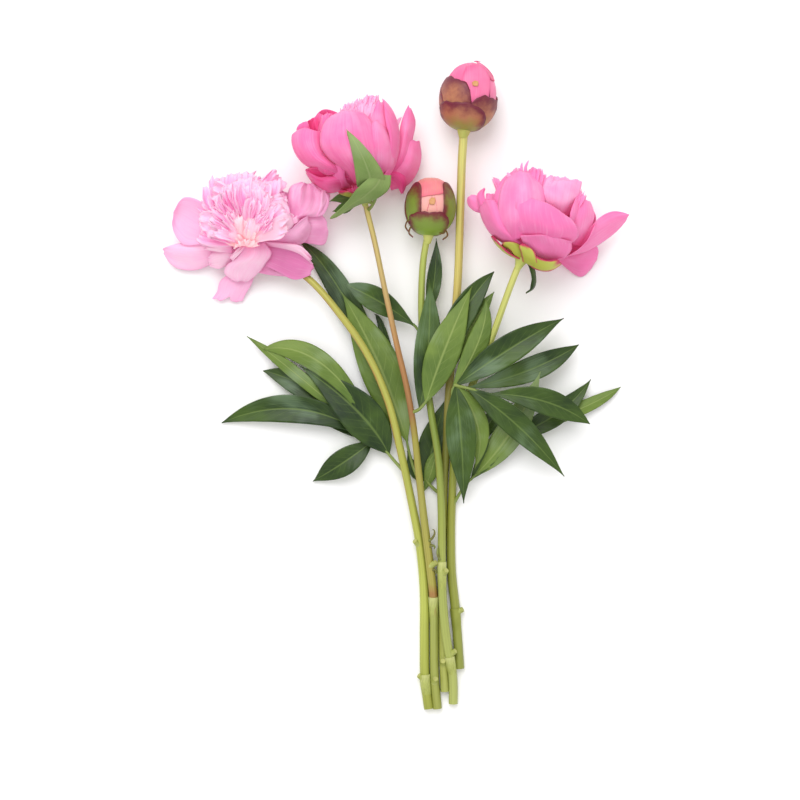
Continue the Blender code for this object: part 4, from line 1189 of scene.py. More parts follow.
def patch_surface(bud, patch, across, along):
    """Points of a patch on a bud, in its flower's coordinates."""
    radius, length, foot = bud
    reach = along * (1 - petal_edge(patch, across))
    angle = np.radians(patch.start + (patch.end - patch.start) * reach + patch.slant * across)
    girth = radius * np.abs(np.sin(angle)) ** 0.85 * (1 + 0.06 * np.cos(angle))
    height = foot + length * (1 - np.cos(angle)) / 2
    side = side_offset(patch, across, reach, patch.belly)
    turn = math.radians(patch.azimuth) + side / np.maximum(girth, 0.4 * radius)
    out = patch.lift + patch.tip_lift * reach**3 + 0.25 * np.abs(across) ** 3
    middle = foot + length / 2
    grown = 1 + out / np.hypot(girth, height - middle)
    x = girth * grown * np.cos(turn)
    y = girth * grown * np.sin(turn)
    return np.stack([x, y, middle + (height - middle) * grown], axis=1)


def placed_surface(petal, across, along):
    """Points of a placed petal in bouquet coordinates."""
    route = smooth_route(petal.line, ROUTE_STEPS)
    reach = along * (1 - petal_edge(petal, across))
    run = unit(along_route(np.gradient(route, axis=0), reach))
    right = unit(np.cross(run, petal.face))
    up = np.cross(right, run)
    side = side_offset(petal, across, reach, petal.belly)
    rise = np.zeros_like(side)
    if petal.arch:
        radius = abs(petal.arch)
        rise = math.copysign(1, petal.arch) * radius * (1 - np.cos(side / radius))
        side = radius * np.sin(side / radius)
    rise = rise + ruffles(petal, across, reach) + petal.pleat * reach * np.sin(14 * across + petal.phase)
    rise = rise + tip_curl(petal, along)
    return along_route(route, reach) + right * side[:, None] + up * rise[:, None]


def edged_surface(petal, across, along):
    """Points of an edged petal in bouquet coordinates."""
    reach = along * (1 - petal_edge(petal, across))
    left, right = (along_route(smooth_route(edge, ROUTE_STEPS), reach) for edge in (petal.left, petal.right))
    run = np.array(petal.left[-1]) + petal.right[-1] - np.array(petal.left[-2]) - petal.right[-2]
    crown = petal.crown * (1 - across**2) * reach**4
    place = (left + right) / 2 + (right - left) / 2 * across[:, None]
    place = place + crown[:, None] * run / np.linalg.norm(run)
    start = petal.phase + petal.left[0][0]
    rise = petal.bulge * (1 - across**2) * np.sin(math.pi * (0.15 + 0.72 * reach))
    rise = rise + petal.warp * np.sin(4.2 * across + start) * np.sin(6.5 * reach + 0.7 * start)
    rim = np.maximum(np.abs(across) ** 5, reach**6)
    coarse = np.sin(petal.waves * across + 5 * reach + start)
    wave = coarse + 0.5 * np.sin(2.7 * petal.waves * across + 9 * reach)
    rise = rise + petal.ruffle * (0.25 * reach + rim) * wave
    rise = rise + petal.pleat * np.sin(14 * across + start) * reach + petal.curl * rim
    place[:, 2] += rise
    return place


def leaflet_surface(leaflet, across, along):
    """Points of a leaflet in bouquet coordinates: a pointed blade along a curved midrib."""
    base, middle, tip = (np.array(point, float) for point in leaflet[:3])
    bend = 2 * middle - (base + tip) / 2
    t = along[:, None]
    rib = (1 - t) ** 2 * base + 2 * t * (1 - t) * bend + t**2 * tip
    run = unit(2 * (1 - t) * (bend - base) + 2 * t * (tip - bend))
    right = unit(np.cross(run, (0, 0, 1)))
    face = np.cross(right, run)

    rise, fall = leaflet.belly * 2.4, (1 - leaflet.belly) * 2.4
    peak = leaflet.belly**rise * (1 - leaflet.belly) ** fall
    blade = np.maximum(along, 1e-6) ** rise * np.maximum(1 - along, 1e-6) ** fall / peak
    half = np.maximum(leaflet.half_width * blade, np.where(along < 0.5, 0.8, 0.15))
    side = across * half
    fold = math.tan(math.radians(leaflet.fold)) * (-1 if leaflet.underside_up else 1)
    crease = np.sqrt(side**2 + 0.6) - math.sqrt(0.6)
    lift = crease * fold + leaflet.wave * np.abs(across) * np.sin(9 * along + 2 * np.sign(across))
    quilt = 0.25 * np.sin(2 * math.pi * (8 * along - 1.6 * np.abs(across))) * np.abs(across) * blade
    return rib + right * side[:, None] + face * (lift + quilt)[:, None]


def pressed_to_table(points, thickness):
    """Bends what would reach under the table so that it lies on it."""
    low = thickness / 2
    above = points[:, 2] - low
    bent = np.logaddexp(0, np.minimum(above, FREE_HEIGHT) / TABLE_SOFTNESS) * TABLE_SOFTNESS
    points[:, 2] = low + np.where(above > FREE_HEIGHT, above, bent)
    return points


def new_work():
    """An empty mesh in work, with a UV map along each sheet and a tone for each one."""
    work = bmesh.new()
    work.loops.layers.uv.new("along")
    work.verts.layers.float.new("tone")
    return work


def add_sheet(work, cells, surface, tone=0.5, finish_index=0):
    """A grid of cells whose points are moved onto a surface."""
    made = bmesh.ops.create_grid(work, x_segments=cells[0], y_segments=cells[1], size=1, calc_uvs=True)
    verts = made["verts"]
    flat = np.array([vertex.co for vertex in verts])
    tone_layer = work.verts.layers.float["tone"]
    for vertex, place in zip(verts, surface(flat[:, 0], (flat[:, 1] + 1) / 2)):
        vertex.co = Vector(place) * MM
        vertex[tone_layer] = tone
    for face in {face for vertex in verts for face in vertex.link_faces}:
        face.material_index = finish_index
    return verts


def add_petals(work, petals, points_of, cells, thickness, finish_index=0):
    """A sheet for each petal or sepal, by the rule that gives its points in the bouquet."""
    for petal in petals:

        def surface(across, along, petal=petal):
            return pressed_to_table(points_of(petal, across, along), thickness)

        add_sheet(work, cells, surface, petal.tone, finish_index)


def on_flower(flower):
    """The rule for petals about a flower's axis."""
    return lambda petal, across, along: in_bouquet(flower, petal_surface(petal, across, along))


def on_bud(name):
    """The rule for patches on a bud."""
    flower, bud = FLOWERS[name], BUDS[name]
    return lambda patch, across, along: in_bouquet(flower, patch_surface(bud, patch, across, along))


def add_tube(work, points, radii, steps, sides=16, tone=0.5, finish_index=0, cut_index=None):
    """A round stalk along a smooth route, closed at both ends, and flat where it lies on the table."""
    route = smooth_route(points, 8 * steps)
    runs = unit(np.gradient(route, axis=0))

    def surface(across, along):
        run = along_route(runs, along)
        right = unit(np.cross(run, (0, 0, 1)))
        face = np.cross(right, run)
        radius = np.interp(along, np.linspace(0, 1, len(radii)), radii)
        ridge = 1 + 0.03 * np.sin(5 * math.pi * across)
        angle = math.pi * across
        around = right * np.sin(angle)[:, None] - face * np.cos(angle)[:, None]
        place = along_route(route, along) + around * (radius * ridge)[:, None]
        place[:, 2] = np.maximum(place[:, 2], 0.0)
        return place

    verts = add_sheet(work, (sides, steps), surface, tone, finish_index)
    bmesh.ops.remove_doubles(work, verts=verts, dist=1e-6)
    verts = [vertex for vertex in verts if vertex.is_valid]
    rim = {edge for vertex in verts for edge in vertex.link_edges if edge.is_boundary}
    for cap in bmesh.ops.holes_fill(work, edges=list(rim))["faces"]:
        cap.material_index = finish_index if cut_index is None else cut_index
    skin = {face for vertex in verts for face in vertex.link_faces}
    bmesh.ops.recalc_face_normals(work, faces=list(skin))


def make_piece(name, node, work, finishes, thickness=None, second_face=0):
    """Makes the mesh in work a piece that rides on the bouquet and stands for a solid."""
    mesh = bpy.data.meshes.new(name)
    work.to_mesh(mesh)
    work.free()
    for finish in finishes:
        mesh.materials.append(finish)
    mesh.shade_smooth()
    mesh.set_sharp_from_angle(angle=math.radians(50))
    piece = bpy.data.objects.new(name, mesh)
    bpy.context.scene.collection.objects.link(piece)
    if thickness:
        wall = piece.modifiers.new("thickness", "SOLIDIFY")
        wall.thickness = thickness * MM
        wall.offset = 0
        wall.material_offset = second_face
    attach(piece, "root")
    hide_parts(node)


def paint(red, green, blue):
    """A colour as a screen shows it, from 0 to 255, in the renderer's own linear light."""
    shares = (channel / 255 for channel in (red, green, blue))
    return (*(s / 12.92 if s <= 0.04045 else ((s + 0.055) / 1.055) ** 2.4 for s in shares), 1.0)


def feed(socket, term):
    """Gives a socket a fixed value, or links it to another value of its tree."""
    if isinstance(term, Value):
        term.tree.links.new(term.socket, socket)
    else:
        socket.default_value = term


class Value:
    """A number, colour or place in a shader's tree, so that its arithmetic is written as a formula."""

    def __init__(self, tree, socket):
        self.tree = tree
        self.socket = socket

    def worked(self, operation, *terms):
        node = self.tree.nodes.new("ShaderNodeMath")
        node.operation = operation
        for socket, term in zip(node.inputs, terms):
            feed(socket, term)
        return Value(self.tree, node.outputs[0])

    def __add__(self, other):
        return self.worked("ADD", self, other)

    def __sub__(self, other):
        return self.worked("SUBTRACT", self, other)

    def __rsub__(self, other):
        return self.worked("SUBTRACT", other, self)

    def __mul__(self, other):
        return self.worked("MULTIPLY", self, other)

    def __truediv__(self, other):
        return self.worked("DIVIDE", self, other)

    def __abs__(self):
        return self.worked("ABSOLUTE", self)

    def larger(self, other):
        return self.worked("MAXIMUM", self, other)

    def above(self, limit):
        """1 above the limit and 0 below it."""
        return self.worked("GREATER_THAN", self, limit)

    def fraction(self):
        return self.worked("FRACT", self)

    def held(self):
        """The same value, held between 0 and 1."""
        self.socket.node.use_clamp = True
        return self

    def smooth(self, low, high):
        """0 at low, 1 at high, and smooth in between."""
        node = self.tree.nodes.new("ShaderNodeMapRange")
        node.interpolation_type = "SMOOTHSTEP"
        node.inputs["From Min"].default_value = low
        node.inputs["From Max"].default_value = high
        feed(node.inputs["Value"], self)
        return Value(self.tree, node.outputs["Result"])


def mix(share, first, second):
    """A colour between two others. Share and colours are values, or fixed."""
    tree = next(term.tree for term in (share, first, second) if isinstance(term, Value))
    node = tree.nodes.new("ShaderNodeMix")
    node.data_type = "RGBA"
    factor, colours = node.inputs[0], node.inputs[6:8]
    for socket, term in zip((factor, *colours), (share, first, second)):
        feed(socket, term)
    return Value(tree, node.outputs[2])


def noise(place, scale, detail=3.0, roughness=0.5):
    """Soft unevenness about 0.5, finer with a larger scale."""
    node = place.tree.nodes.new("ShaderNodeTexNoise")
    for label, term in {"Scale": scale, "Detail": detail, "Roughness": roughness, "Vector": place}.items():
        feed(node.inputs[label], term)
    return Value(place.tree, node.outputs["Fac"])


def joined(x, y, z):
    """The place with these three coordinates."""
    node = x.tree.nodes.new("ShaderNodeCombineXYZ")
    for socket, term in zip(node.inputs, (x, y, z)):
        feed(socket, term)
    return Value(x.tree, node.outputs["Vector"])


def object_place(tree):
    """The place in the bouquet, in metres."""
    return Value(tree, tree.nodes.new("ShaderNodeTexCoord").outputs["Object"])


def sheet_place(tree):
    """Places on a sheet: across from 0 to 1, and along from 0 to 1."""
    source = tree.nodes.new("ShaderNodeUVMap")
    source.uv_map = "along"
    split = tree.nodes.new("ShaderNodeSeparateXYZ")
    tree.links.new(source.outputs["UV"], split.inputs["Vector"])
    return Value(tree, split.outputs["X"]), Value(tree, split.outputs["Y"])


def from_midrib(across):
    """0 at a sheet's midrib and 1 at its sides."""
    return abs(across * 2 - 1)


def start_group(name, colours, amounts):
    """A shader group that takes these colours and amounts, and the values that it is given."""
    group = bpy.data.node_groups.new(name, "ShaderNodeTree")
    for label in colours + amounts:
        kind = "NodeSocketColor" if label in colours else "NodeSocketFloat"
        group.interface.new_socket(label, in_out="INPUT", socket_type=kind)
    first = group.nodes.new("NodeGroupInput")
    return group, {label: Value(group, first.outputs[label]) for label in colours + amounts}


def end_group(group, results):
    """Gives the group its outputs: one colour, and amounts."""
    for label in results:
        kind = "NodeSocketColor" if label == "Color" else "NodeSocketFloat"
        group.interface.new_socket(label, in_out="OUTPUT", socket_type=kind)
    last = group.nodes.new("NodeGroupOutput")
    for label, value in results.items():
        feed(last.inputs[label], value)
    return group


def make_petal_colouring():
    """Colour and relief of a petal: deeper at its root, tinted at its rim, finely veined."""
    colours = ("Deep", "Body", "Pale", "Root", "Rim")
    group, given = start_group("petal_colouring", colours, ("Root Reach", "Rim Share"))
    across, along = sheet_place(group)
    attribute = group.nodes.new("ShaderNodeAttribute")
    attribute.attribute_name = "tone"
    tone = Value(group, attribute.outputs["Fac"])
    blotch = noise(object_place(group), 70, 3)
    shifted = tone + (blotch - 0.5) * 0.5
    body = mix(shifted.smooth(0.0, 0.5), given["Deep"], given["Body"])
    body = mix(shifted.smooth(0.5, 1.0), body, given["Pale"])

    near_root = (1 - along / given["Root Reach"]).held()
    rooted_colour = mix(near_root * 0.85, body, given["Root"])
    rim = from_midrib(across).smooth(0.72, 1.0).larger(along.smooth(0.8, 1.0))
    rimmed = mix(rim * given["Rim Share"], rooted_colour, given["Rim"])

    veins = noise(joined(across * 26, along * 1.6, tone * 40), 1.0, 4, 0.6)
    shade = (veins - 0.5) * 0.55
    veined = mix(shade.smooth(-0.02, 0.16), rimmed, given["Root"])
    streaked = mix(shade.smooth(0.0, -0.14), veined, given["Pale"])
    return end_group(group, {"Color": mix(0.34, rimmed, streaked), "Height": veins})


def make_leaf_colouring():
    """Colour, gloss and relief of a leaf: a pale midrib, side veins that run forward, mottling, and pale
    patches of painted sheen that stand in for gloss highlights.
    """
    colours = ("Blade", "Light", "Vein", "Painted Sheen")
    group, given = start_group("leaf_colouring", colours, ("Vein Share", "Painted Sheen Share"))
    across, along = sheet_place(group)
    aside = from_midrib(across)
    midrib = 1 - aside.smooth(0.02, 0.10)
    saw = (along * 11 - aside * 2.2 + across.above(0.5) * 0.5).fraction()
    side_vein = abs(saw - 0.5).smooth(0.42, 0.5) * (1 - aside)
    vein = midrib.larger(side_vein * 0.6)
    mottle = noise(object_place(group), 90, 4, 0.6)
    cloud = noise(object_place(group), 22, 2)
    plain = mix((mottle * 0.4 + cloud).smooth(0.45, 1.0), given["Blade"], given["Light"])

    lines = noise(joined(across * 34, along * 2.4, cloud), 1.0, 4, 0.65)
    lined = mix(lines.smooth(0.45, 0.75) * 0.4, plain, given["Light"])
    # Painted sheen: pale patches that stand in for the leaf's gloss highlights.
    painted_sheen = (noise(object_place(group), 34, 2, 0.4) + lines * 0.25).smooth(0.66, 0.86)
    blade = mix(painted_sheen * given["Painted Sheen Share"], lined, given["Painted Sheen"])
    veined = mix(vein * given["Vein Share"], blade, given["Vein"])
    height = mottle * 0.25 - vein * 0.5
    return end_group(group, {"Color": veined, "Height": height, "Gloss": mottle * 0.25 + 0.25})


def new_finish(name, roughness, specular):
    """A new material, its tree and its shader."""
    material = bpy.data.materials.new(name)
    material.use_nodes = True
    shader = material.node_tree.nodes["Principled BSDF"]
    shader.inputs["Roughness"].default_value = roughness
    shader.inputs["Specular IOR Level"].default_value = specular
    return material, material.node_tree, shader


def place_group(tree, group, values):
    """The group in a material's tree, with its values, and what it puts out."""
    node = tree.nodes.new("ShaderNodeGroup")
    node.node_tree = group
    for label, value in values.items():
        node.inputs[label].default_value = value if isinstance(value, float) else paint(*value)
    return {socket.name: Value(tree, socket) for socket in node.outputs}


def bump(shader, height, strength, distance):
    """Gives a finish its relief. The distance is in millimetres."""
    node = height.tree.nodes.new("ShaderNodeBump")
    node.inputs["Strength"].default_value = strength
    node.inputs["Distance"].default_value = distance * MM
    feed(node.inputs["Height"], height)
    height.tree.links.new(node.outputs["Normal"], shader.inputs["Normal"])


def let_light_through(tree, shader, colour, share):
    """Mixes in light that comes through a thin sheet from behind."""
    through = tree.nodes.new("ShaderNodeBsdfTranslucent")
    through.inputs["Color"].default_value = colour
    blend = tree.nodes.new("ShaderNodeMixShader")
    blend.inputs["Fac"].default_value = share
    tree.links.new(shader.outputs["BSDF"], blend.inputs[1])
    tree.links.new(through.outputs["BSDF"], blend.inputs[2])
    tree.links.new(blend.outputs["Shader"], tree.nodes["Material Output"].inputs["Surface"])


PETAL_COLOURING = make_petal_colouring()
LEAF_COLOURING = make_leaf_colouring()


def petal_finish(name, deep, body, pale, root, rim, glow, root_reach, rim_share, through=0.3, lift=0.0):
    """A thin petal. Lift is the strength of a painted glow: an emission in the glow colour that stands in
    for light scattered inside its flower and brightens its hollows.
    """
    material, tree, shader = new_finish(name, roughness=0.5, specular=0.3)
    shader.inputs["Sheen Weight"].default_value = 0.15
    shader.inputs["Sheen Roughness"].default_value = 0.5
    # Painted glow: the petal gives off a little light of its own, in the glow colour.
    shader.inputs["Emission Color"].default_value = paint(*glow)
    shader.inputs["Emission Strength"].default_value = lift
    values = {"Deep": deep, "Body": body, "Pale": pale, "Root": root, "Rim": rim}
    values.update({"Root Reach": root_reach, "Rim Share": rim_share})
    pattern = place_group(tree, PETAL_COLOURING, values)
    feed(shader.inputs["Base Color"], pattern["Color"])
    bump(shader, pattern["Height"], strength=0.35, distance=0.4)
    let_light_through(tree, shader, paint(*glow), through)
    return material


def leaf_finish(name, blade, light, vein, painted_sheen, vein_share, painted_sheen_share, roughness, through, gloss=False):
    """A leaf's face, with pale patches of painted sheen in places, which stand in for gloss highlights."""
    material, tree, shader = new_finish(name, roughness, specular=0.35)
    values = {"Blade": blade, "Light": light, "Vein": vein, "Painted Sheen": painted_sheen}
    values.update({"Vein Share": vein_share, "Painted Sheen Share": painted_sheen_share})
    pattern = place_group(tree, LEAF_COLOURING, values)
    feed(shader.inputs["Base Color"], pattern["Color"])
    if gloss:
        feed(shader.inputs["Roughness"], pattern["Gloss"])
    bump(shader, pattern["Height"], strength=0.5, distance=0.5)
    let_light_through(tree, shader, paint(90, 130, 30), through)
    return material


def stem_finish(name, stops, blush=(150, 105, 60), blush_share=0.3):
    """A stem's colours from its cut end to its flower, with lengthwise streaks.

    The blush is on its left side, above its lowest part.
    """
    material, tree, shader = new_finish(name, roughness=0.42, specular=0.5)
    across, along = sheet_place(tree)
    ramp = tree.nodes.new("ShaderNodeValToRGB")
    while len(ramp.color_ramp.elements) < len(stops):
        ramp.color_ramp.elements.new(0.5)
    for element, (place, colour) in zip(ramp.color_ramp.elements, stops):
        element.position = place
        element.color = paint(*colour)
    uneven = noise(object_place(tree), 60, 3)
    feed(ramp.inputs["Fac"], along + (uneven - 0.5) * 0.03)
    base = Value(tree, ramp.outputs["Color"])
    streaks = noise(joined(across * 22, along * 5, 0), 1.0, 4, 0.6)
    lit = mix(streaks.smooth(0.35, 0.75), base, mix(0.35, base, paint(70, 70, 20)))
    left = (abs(across - 0.2) + uneven * 0.2).smooth(0.24, 0.06)
    higher = along.smooth(0.3, 0.5) * blush_share
    feed(shader.inputs["Base Color"], mix(left * higher, lit, paint(*blush)))
    bump(shader, streaks, strength=0.3, distance=0.3)
    return material


def sepal_finish(name, base, middle, edge, edge_start, top_start):
    """A sepal that is green at its foot and turns to a dark rim."""
    material, tree, shader = new_finish(name, roughness=0.45, specular=0.4)
    across, along = sheet_place(tree)
    uneven = noise(object_place(tree), 140, 4, 0.6)
    shift = (uneven - 0.5) * 0.5
    green = mix((along + shift).smooth(0.1, 0.75), paint(*base), paint(*middle))
    sides = (from_midrib(across) + shift).smooth(edge_start, 1.0)
    end = (along + shift).smooth(top_start, 1.0)
    feed(shader.inputs["Base Color"], mix(sides.larger(end), green, paint(*edge)))
    bump(shader, uneven, strength=0.35, distance=0.5)
    return material


def plain_finish(name, colour, other, roughness, scale=200):
    """A mottled finish of two colours."""
    material, tree, shader = new_finish(name, roughness, specular=0.4)
    grain = noise(object_place(tree), scale, 4, 0.6)
    feed(shader.inputs["Base Color"], mix(grain.smooth(0.35, 0.7), paint(*colour), paint(*other)))
    bump(shader, grain, strength=0.3, distance=0.3)
    return material


# Where a finish has a lift, its petals carry a faint painted glow that lightens their shaded hollows.
PETAL_FINISHES = {
    "pale_bloom": petal_finish(
        "pale_petal_finish",
        deep=(216, 122, 176), body=(251, 200, 232), pale=(255, 228, 242),
        root=(246, 150, 205), rim=(245, 175, 218), glow=(255, 170, 218),
        root_reach=0.45, rim_share=0.35, through=0.25, lift=0.05,
    ),
    "deep_bloom": petal_finish(
        "deep_petal_finish",
        deep=(232, 50, 130), body=(247, 118, 184), pale=(253, 178, 220),
        root=(232, 70, 145), rim=(248, 130, 192), glow=(255, 95, 165),
        root_reach=0.45, rim_share=0.3, through=0.25, lift=0.03,
    ),
    "half_bloom": petal_finish(
        "pink_petal_finish",
        deep=(232, 92, 166), body=(247, 134, 194), pale=(254, 190, 230),
        root=(240, 105, 175), rim=(250, 150, 206), glow=(255, 120, 188),
        root_reach=0.4, rim_share=0.3, through=0.25, lift=0.03,
    ),
    "green_bud": petal_finish(
        "salmon_petal_finish",
        deep=(232, 100, 130), body=(240, 150, 150), pale=(245, 180, 175),
        root=(228, 170, 135), rim=(230, 95, 130), glow=(250, 120, 130),
        root_reach=0.5, rim_share=0.5, through=0.15,
    ),
    "tall_bud": petal_finish(
        "bud_petal_finish",
        deep=(220, 72, 130), body=(240, 112, 162), pale=(250, 155, 190),
        root=(225, 85, 120), rim=(218, 62, 128), glow=(250, 90, 150),
        root_reach=0.4, rim_share=0.55, through=0.15,
    ),
}
# The frills' root colour is a deep pink that reaches far up them. This is partly their own deeper base and
# partly painted shade that keeps the dome's crevices pink. Their lift is a painted glow that brightens those
# crevices.
FRILL_FINISHES = {
    "pale_bloom": petal_finish(
        "pale_frill_finish",
        deep=(242, 130, 200), body=(252, 200, 234), pale=(255, 232, 246),
        root=(247, 138, 205), rim=(255, 238, 249), glow=(252, 148, 212),
        root_reach=0.7, rim_share=0.75, lift=0.12,
    ),
    "deep_bloom": petal_finish(
        "deep_frill_finish",
        deep=(240, 120, 185), body=(250, 165, 215), pale=(254, 205, 235),
        root=(240, 110, 180), rim=(252, 190, 228), glow=(255, 140, 200),
        root_reach=0.6, rim_share=0.6, lift=0.12,
    ),
    "half_bloom": petal_finish(
        "pink_frill_finish",
        deep=(238, 105, 175), body=(250, 155, 210), pale=(254, 200, 235),
        root=(238, 95, 170), rim=(252, 180, 225), glow=(255, 130, 195),
        root_reach=0.6, rim_share=0.6, lift=0.1,
    ),
}
# The cream and blush petals carry the strongest painted glow, which brightens the middle of the open bloom.
CREAM_FINISH = petal_finish(
    "cream_petal_finish",
    deep=(252, 205, 222), body=(254, 216, 228), pale=(255, 236, 238),
    root=(253, 205, 175), rim=(255, 232, 240), glow=(255, 190, 205),
    root_reach=0.5, rim_share=0.5, lift=0.18,
)
BLUSH_FINISH = petal_finish(
    "blush_petal_finish",
    deep=(248, 188, 220), body=(252, 208, 230), pale=(255, 228, 242),
    root=(253, 214, 200), rim=(255, 232, 244), glow=(255, 178, 212),
    root_reach=0.3, rim_share=0.5, lift=0.12,
)
# Each leaf finish's pale sheen colour is painted sheen, which stands in for gloss highlights on the blades.
LEAF_TOP = leaf_finish(
    "leaf_top",
    blade=(20, 44, 12), light=(66, 92, 26), vein=(122, 146, 72), painted_sheen=(120, 146, 112),
    vein_share=0.4, painted_sheen_share=0.5, roughness=0.3, through=0.1, gloss=True,
)
LEAF_UNDER = leaf_finish(
    "leaf_underside",
    blade=(84, 110, 42), light=(118, 142, 60), vein=(158, 174, 100), painted_sheen=(160, 180, 142),
    vein_share=0.5, painted_sheen_share=0.45, roughness=0.5, through=0.12,
)
BRACT_UNDER = leaf_finish(
    "bract_underside",
    blade=(114, 142, 72), light=(142, 164, 96), vein=(166, 182, 120), painted_sheen=(170, 188, 140),
    vein_share=0.4, painted_sheen_share=0.3, roughness=0.6, through=0.15,
)
CUT_END = plain_finish("cut_end", (176, 178, 104), (140, 142, 72), roughness=0.7)
NECK_FINISH = plain_finish("neck_green", (194, 196, 108), (172, 180, 88), roughness=0.45, scale=90)
OLIVE_JOINT = plain_finish("olive_joint", (146, 152, 66), (130, 138, 54), roughness=0.45, scale=90)
DRY_BIT = plain_finish("dry_bit", (104, 100, 48), (128, 140, 70), roughness=0.6)
BUD_SPOT = plain_finish("bud_spot", (190, 140, 80), (205, 150, 105), roughness=0.6, scale=300)
# Each stem's colours at shares of its length from its cut end.
STEM_FINISHES = {
    "stem_pale_bloom": stem_finish(
        "pale_stem",
        [(0, (150, 156, 60)), (0.2, (180, 188, 84)), (0.45, (168, 172, 74)), (1, (184, 176, 84))],
        blush=(165, 95, 55), blush_share=0.75,
    ),
    "stem_deep_bloom": stem_finish(
        "tan_stem",
        [
            (0, (150, 156, 70)), (0.18, (160, 168, 84)), (0.225, (160, 112, 62)), (0.245, (164, 156, 70)),
            (0.4, (158, 154, 70)), (0.53, (156, 148, 60)), (0.58, (150, 104, 58)), (0.7, (174, 122, 72)),
            (0.84, (190, 165, 104)), (1, (205, 190, 110)),
        ],
        blush=(140, 85, 60), blush_share=0.6,
    ),
    "stem_green_bud": stem_finish(
        "green_stem",
        [
            (0, (170, 178, 96)), (0.22, (158, 168, 82)), (0.36, (150, 160, 70)), (0.6, (130, 150, 62)),
            (0.95, (165, 178, 84)), (1, (184, 190, 98)),
        ],
    ),
    "stem_tall_bud": stem_finish(
        "olive_stem",
        [
            (0, (162, 168, 82)), (0.2, (160, 164, 70)), (0.45, (124, 126, 48)), (0.7, (200, 180, 95)),
            (1, (205, 205, 115)),
        ],
    ),
    "stem_half_bloom": stem_finish(
        "half_stem",
        [
            (0, (138, 146, 60)), (0.2, (144, 150, 60)), (0.4, (146, 150, 56)), (0.6, (150, 165, 65)),
            (1, (205, 205, 115)),
        ],
    ),
}
SHEATH = stem_finish(
    "sheath", [(0, (190, 194, 122)), (0.4, (172, 180, 96)), (1, (160, 168, 78))], blush_share=0.0
)
STALK_FINISH = stem_finish("leaf_stalk", [(0, (125, 140, 60)), (1, (112, 138, 62))])
CALYX = sepal_finish(
    "calyx", (170, 175, 60), (185, 190, 80), (190, 40, 90), edge_start=0.7, top_start=0.8
)
BUD_SEPAL_FINISHES = {
    "green_bud": sepal_finish(
        "green_sepal", (130, 160, 50), (118, 138, 52), (108, 30, 42), edge_start=0.56, top_start=0.66
    ),
    "tall_bud": sepal_finish(
        "brown_sepal", (150, 155, 70), (172, 112, 80), (105, 28, 48), edge_start=0.55, top_start=0.62
    ),
}

# Cells across and along the sheet of each kind of petal, sepal or leaf.
BROAD_CELLS = (20, 26)
EDGED_CELLS = (24, 28)
FRILL_CELLS = (10, 16)
STRAND_CELLS = (12, 18)
CREAM_CELLS = (12, 14)
BROAD_CREAM_CELLS = (18, 20)
SPOT_CELLS = (6, 6)
RING_CELLS = (14, 22)
SEPAL_CELLS = (18, 22)
CALYX_CELLS = (12, 20)
CURLED_CELLS = (8, 24)
LEAF_CELLS = (14, 44)
BRACT_CELLS = (14, 36)


def build_bud(name):
    """A bud is one piece: its petals and their small spot. Its sepals go with its stem."""
    work = new_work()
    add_petals(work, BUD_PETALS[name], on_bud(name), BROAD_CELLS, PETAL_SHEET)
    add_petals(work, BUD_SPOTS[name], on_bud(name), SPOT_CELLS, PETAL_SHEET, finish_index=1)
    finishes = [PETAL_FINISHES[name], BUD_SPOT]
    make_piece(name + "_petals", name, work, finishes, PETAL_SHEET)


def build_bloom(name):
    """A bloom is two pieces: its broad petals, and the fine frilled ones inside them."""
    broad, frill = PETALS[name]()
    about_axis = on_flower(FLOWERS[name])
    work = new_work()
    add_petals(work, broad, about_axis, BROAD_CELLS, PETAL_SHEET)
    add_petals(work, EDGED[name], edged_surface, EDGED_CELLS, PETAL_SHEET)
    make_piece(name + "_petals", name, work, [PETAL_FINISHES[name]], PETAL_SHEET)

    work = new_work()
    add_petals(work, frill, about_axis, FRILL_CELLS, FRILL_SHEET)
    add_petals(work, STRANDS[name], placed_surface, STRAND_CELLS, FRILL_SHEET)
    if name == "pale_bloom":
        add_petals(work, CREAM_PETALS, placed_surface, CREAM_CELLS, FRILL_SHEET, finish_index=1)
        add_petals(
            work, BROAD_CREAM_PETALS, edged_surface, BROAD_CREAM_CELLS, FRILL_SHEET, finish_index=2
        )
    finishes = [FRILL_FINISHES[name], CREAM_FINISH, BLUSH_FINISH]
    make_piece(name + "_frill", name, work, finishes, FRILL_SHEET)


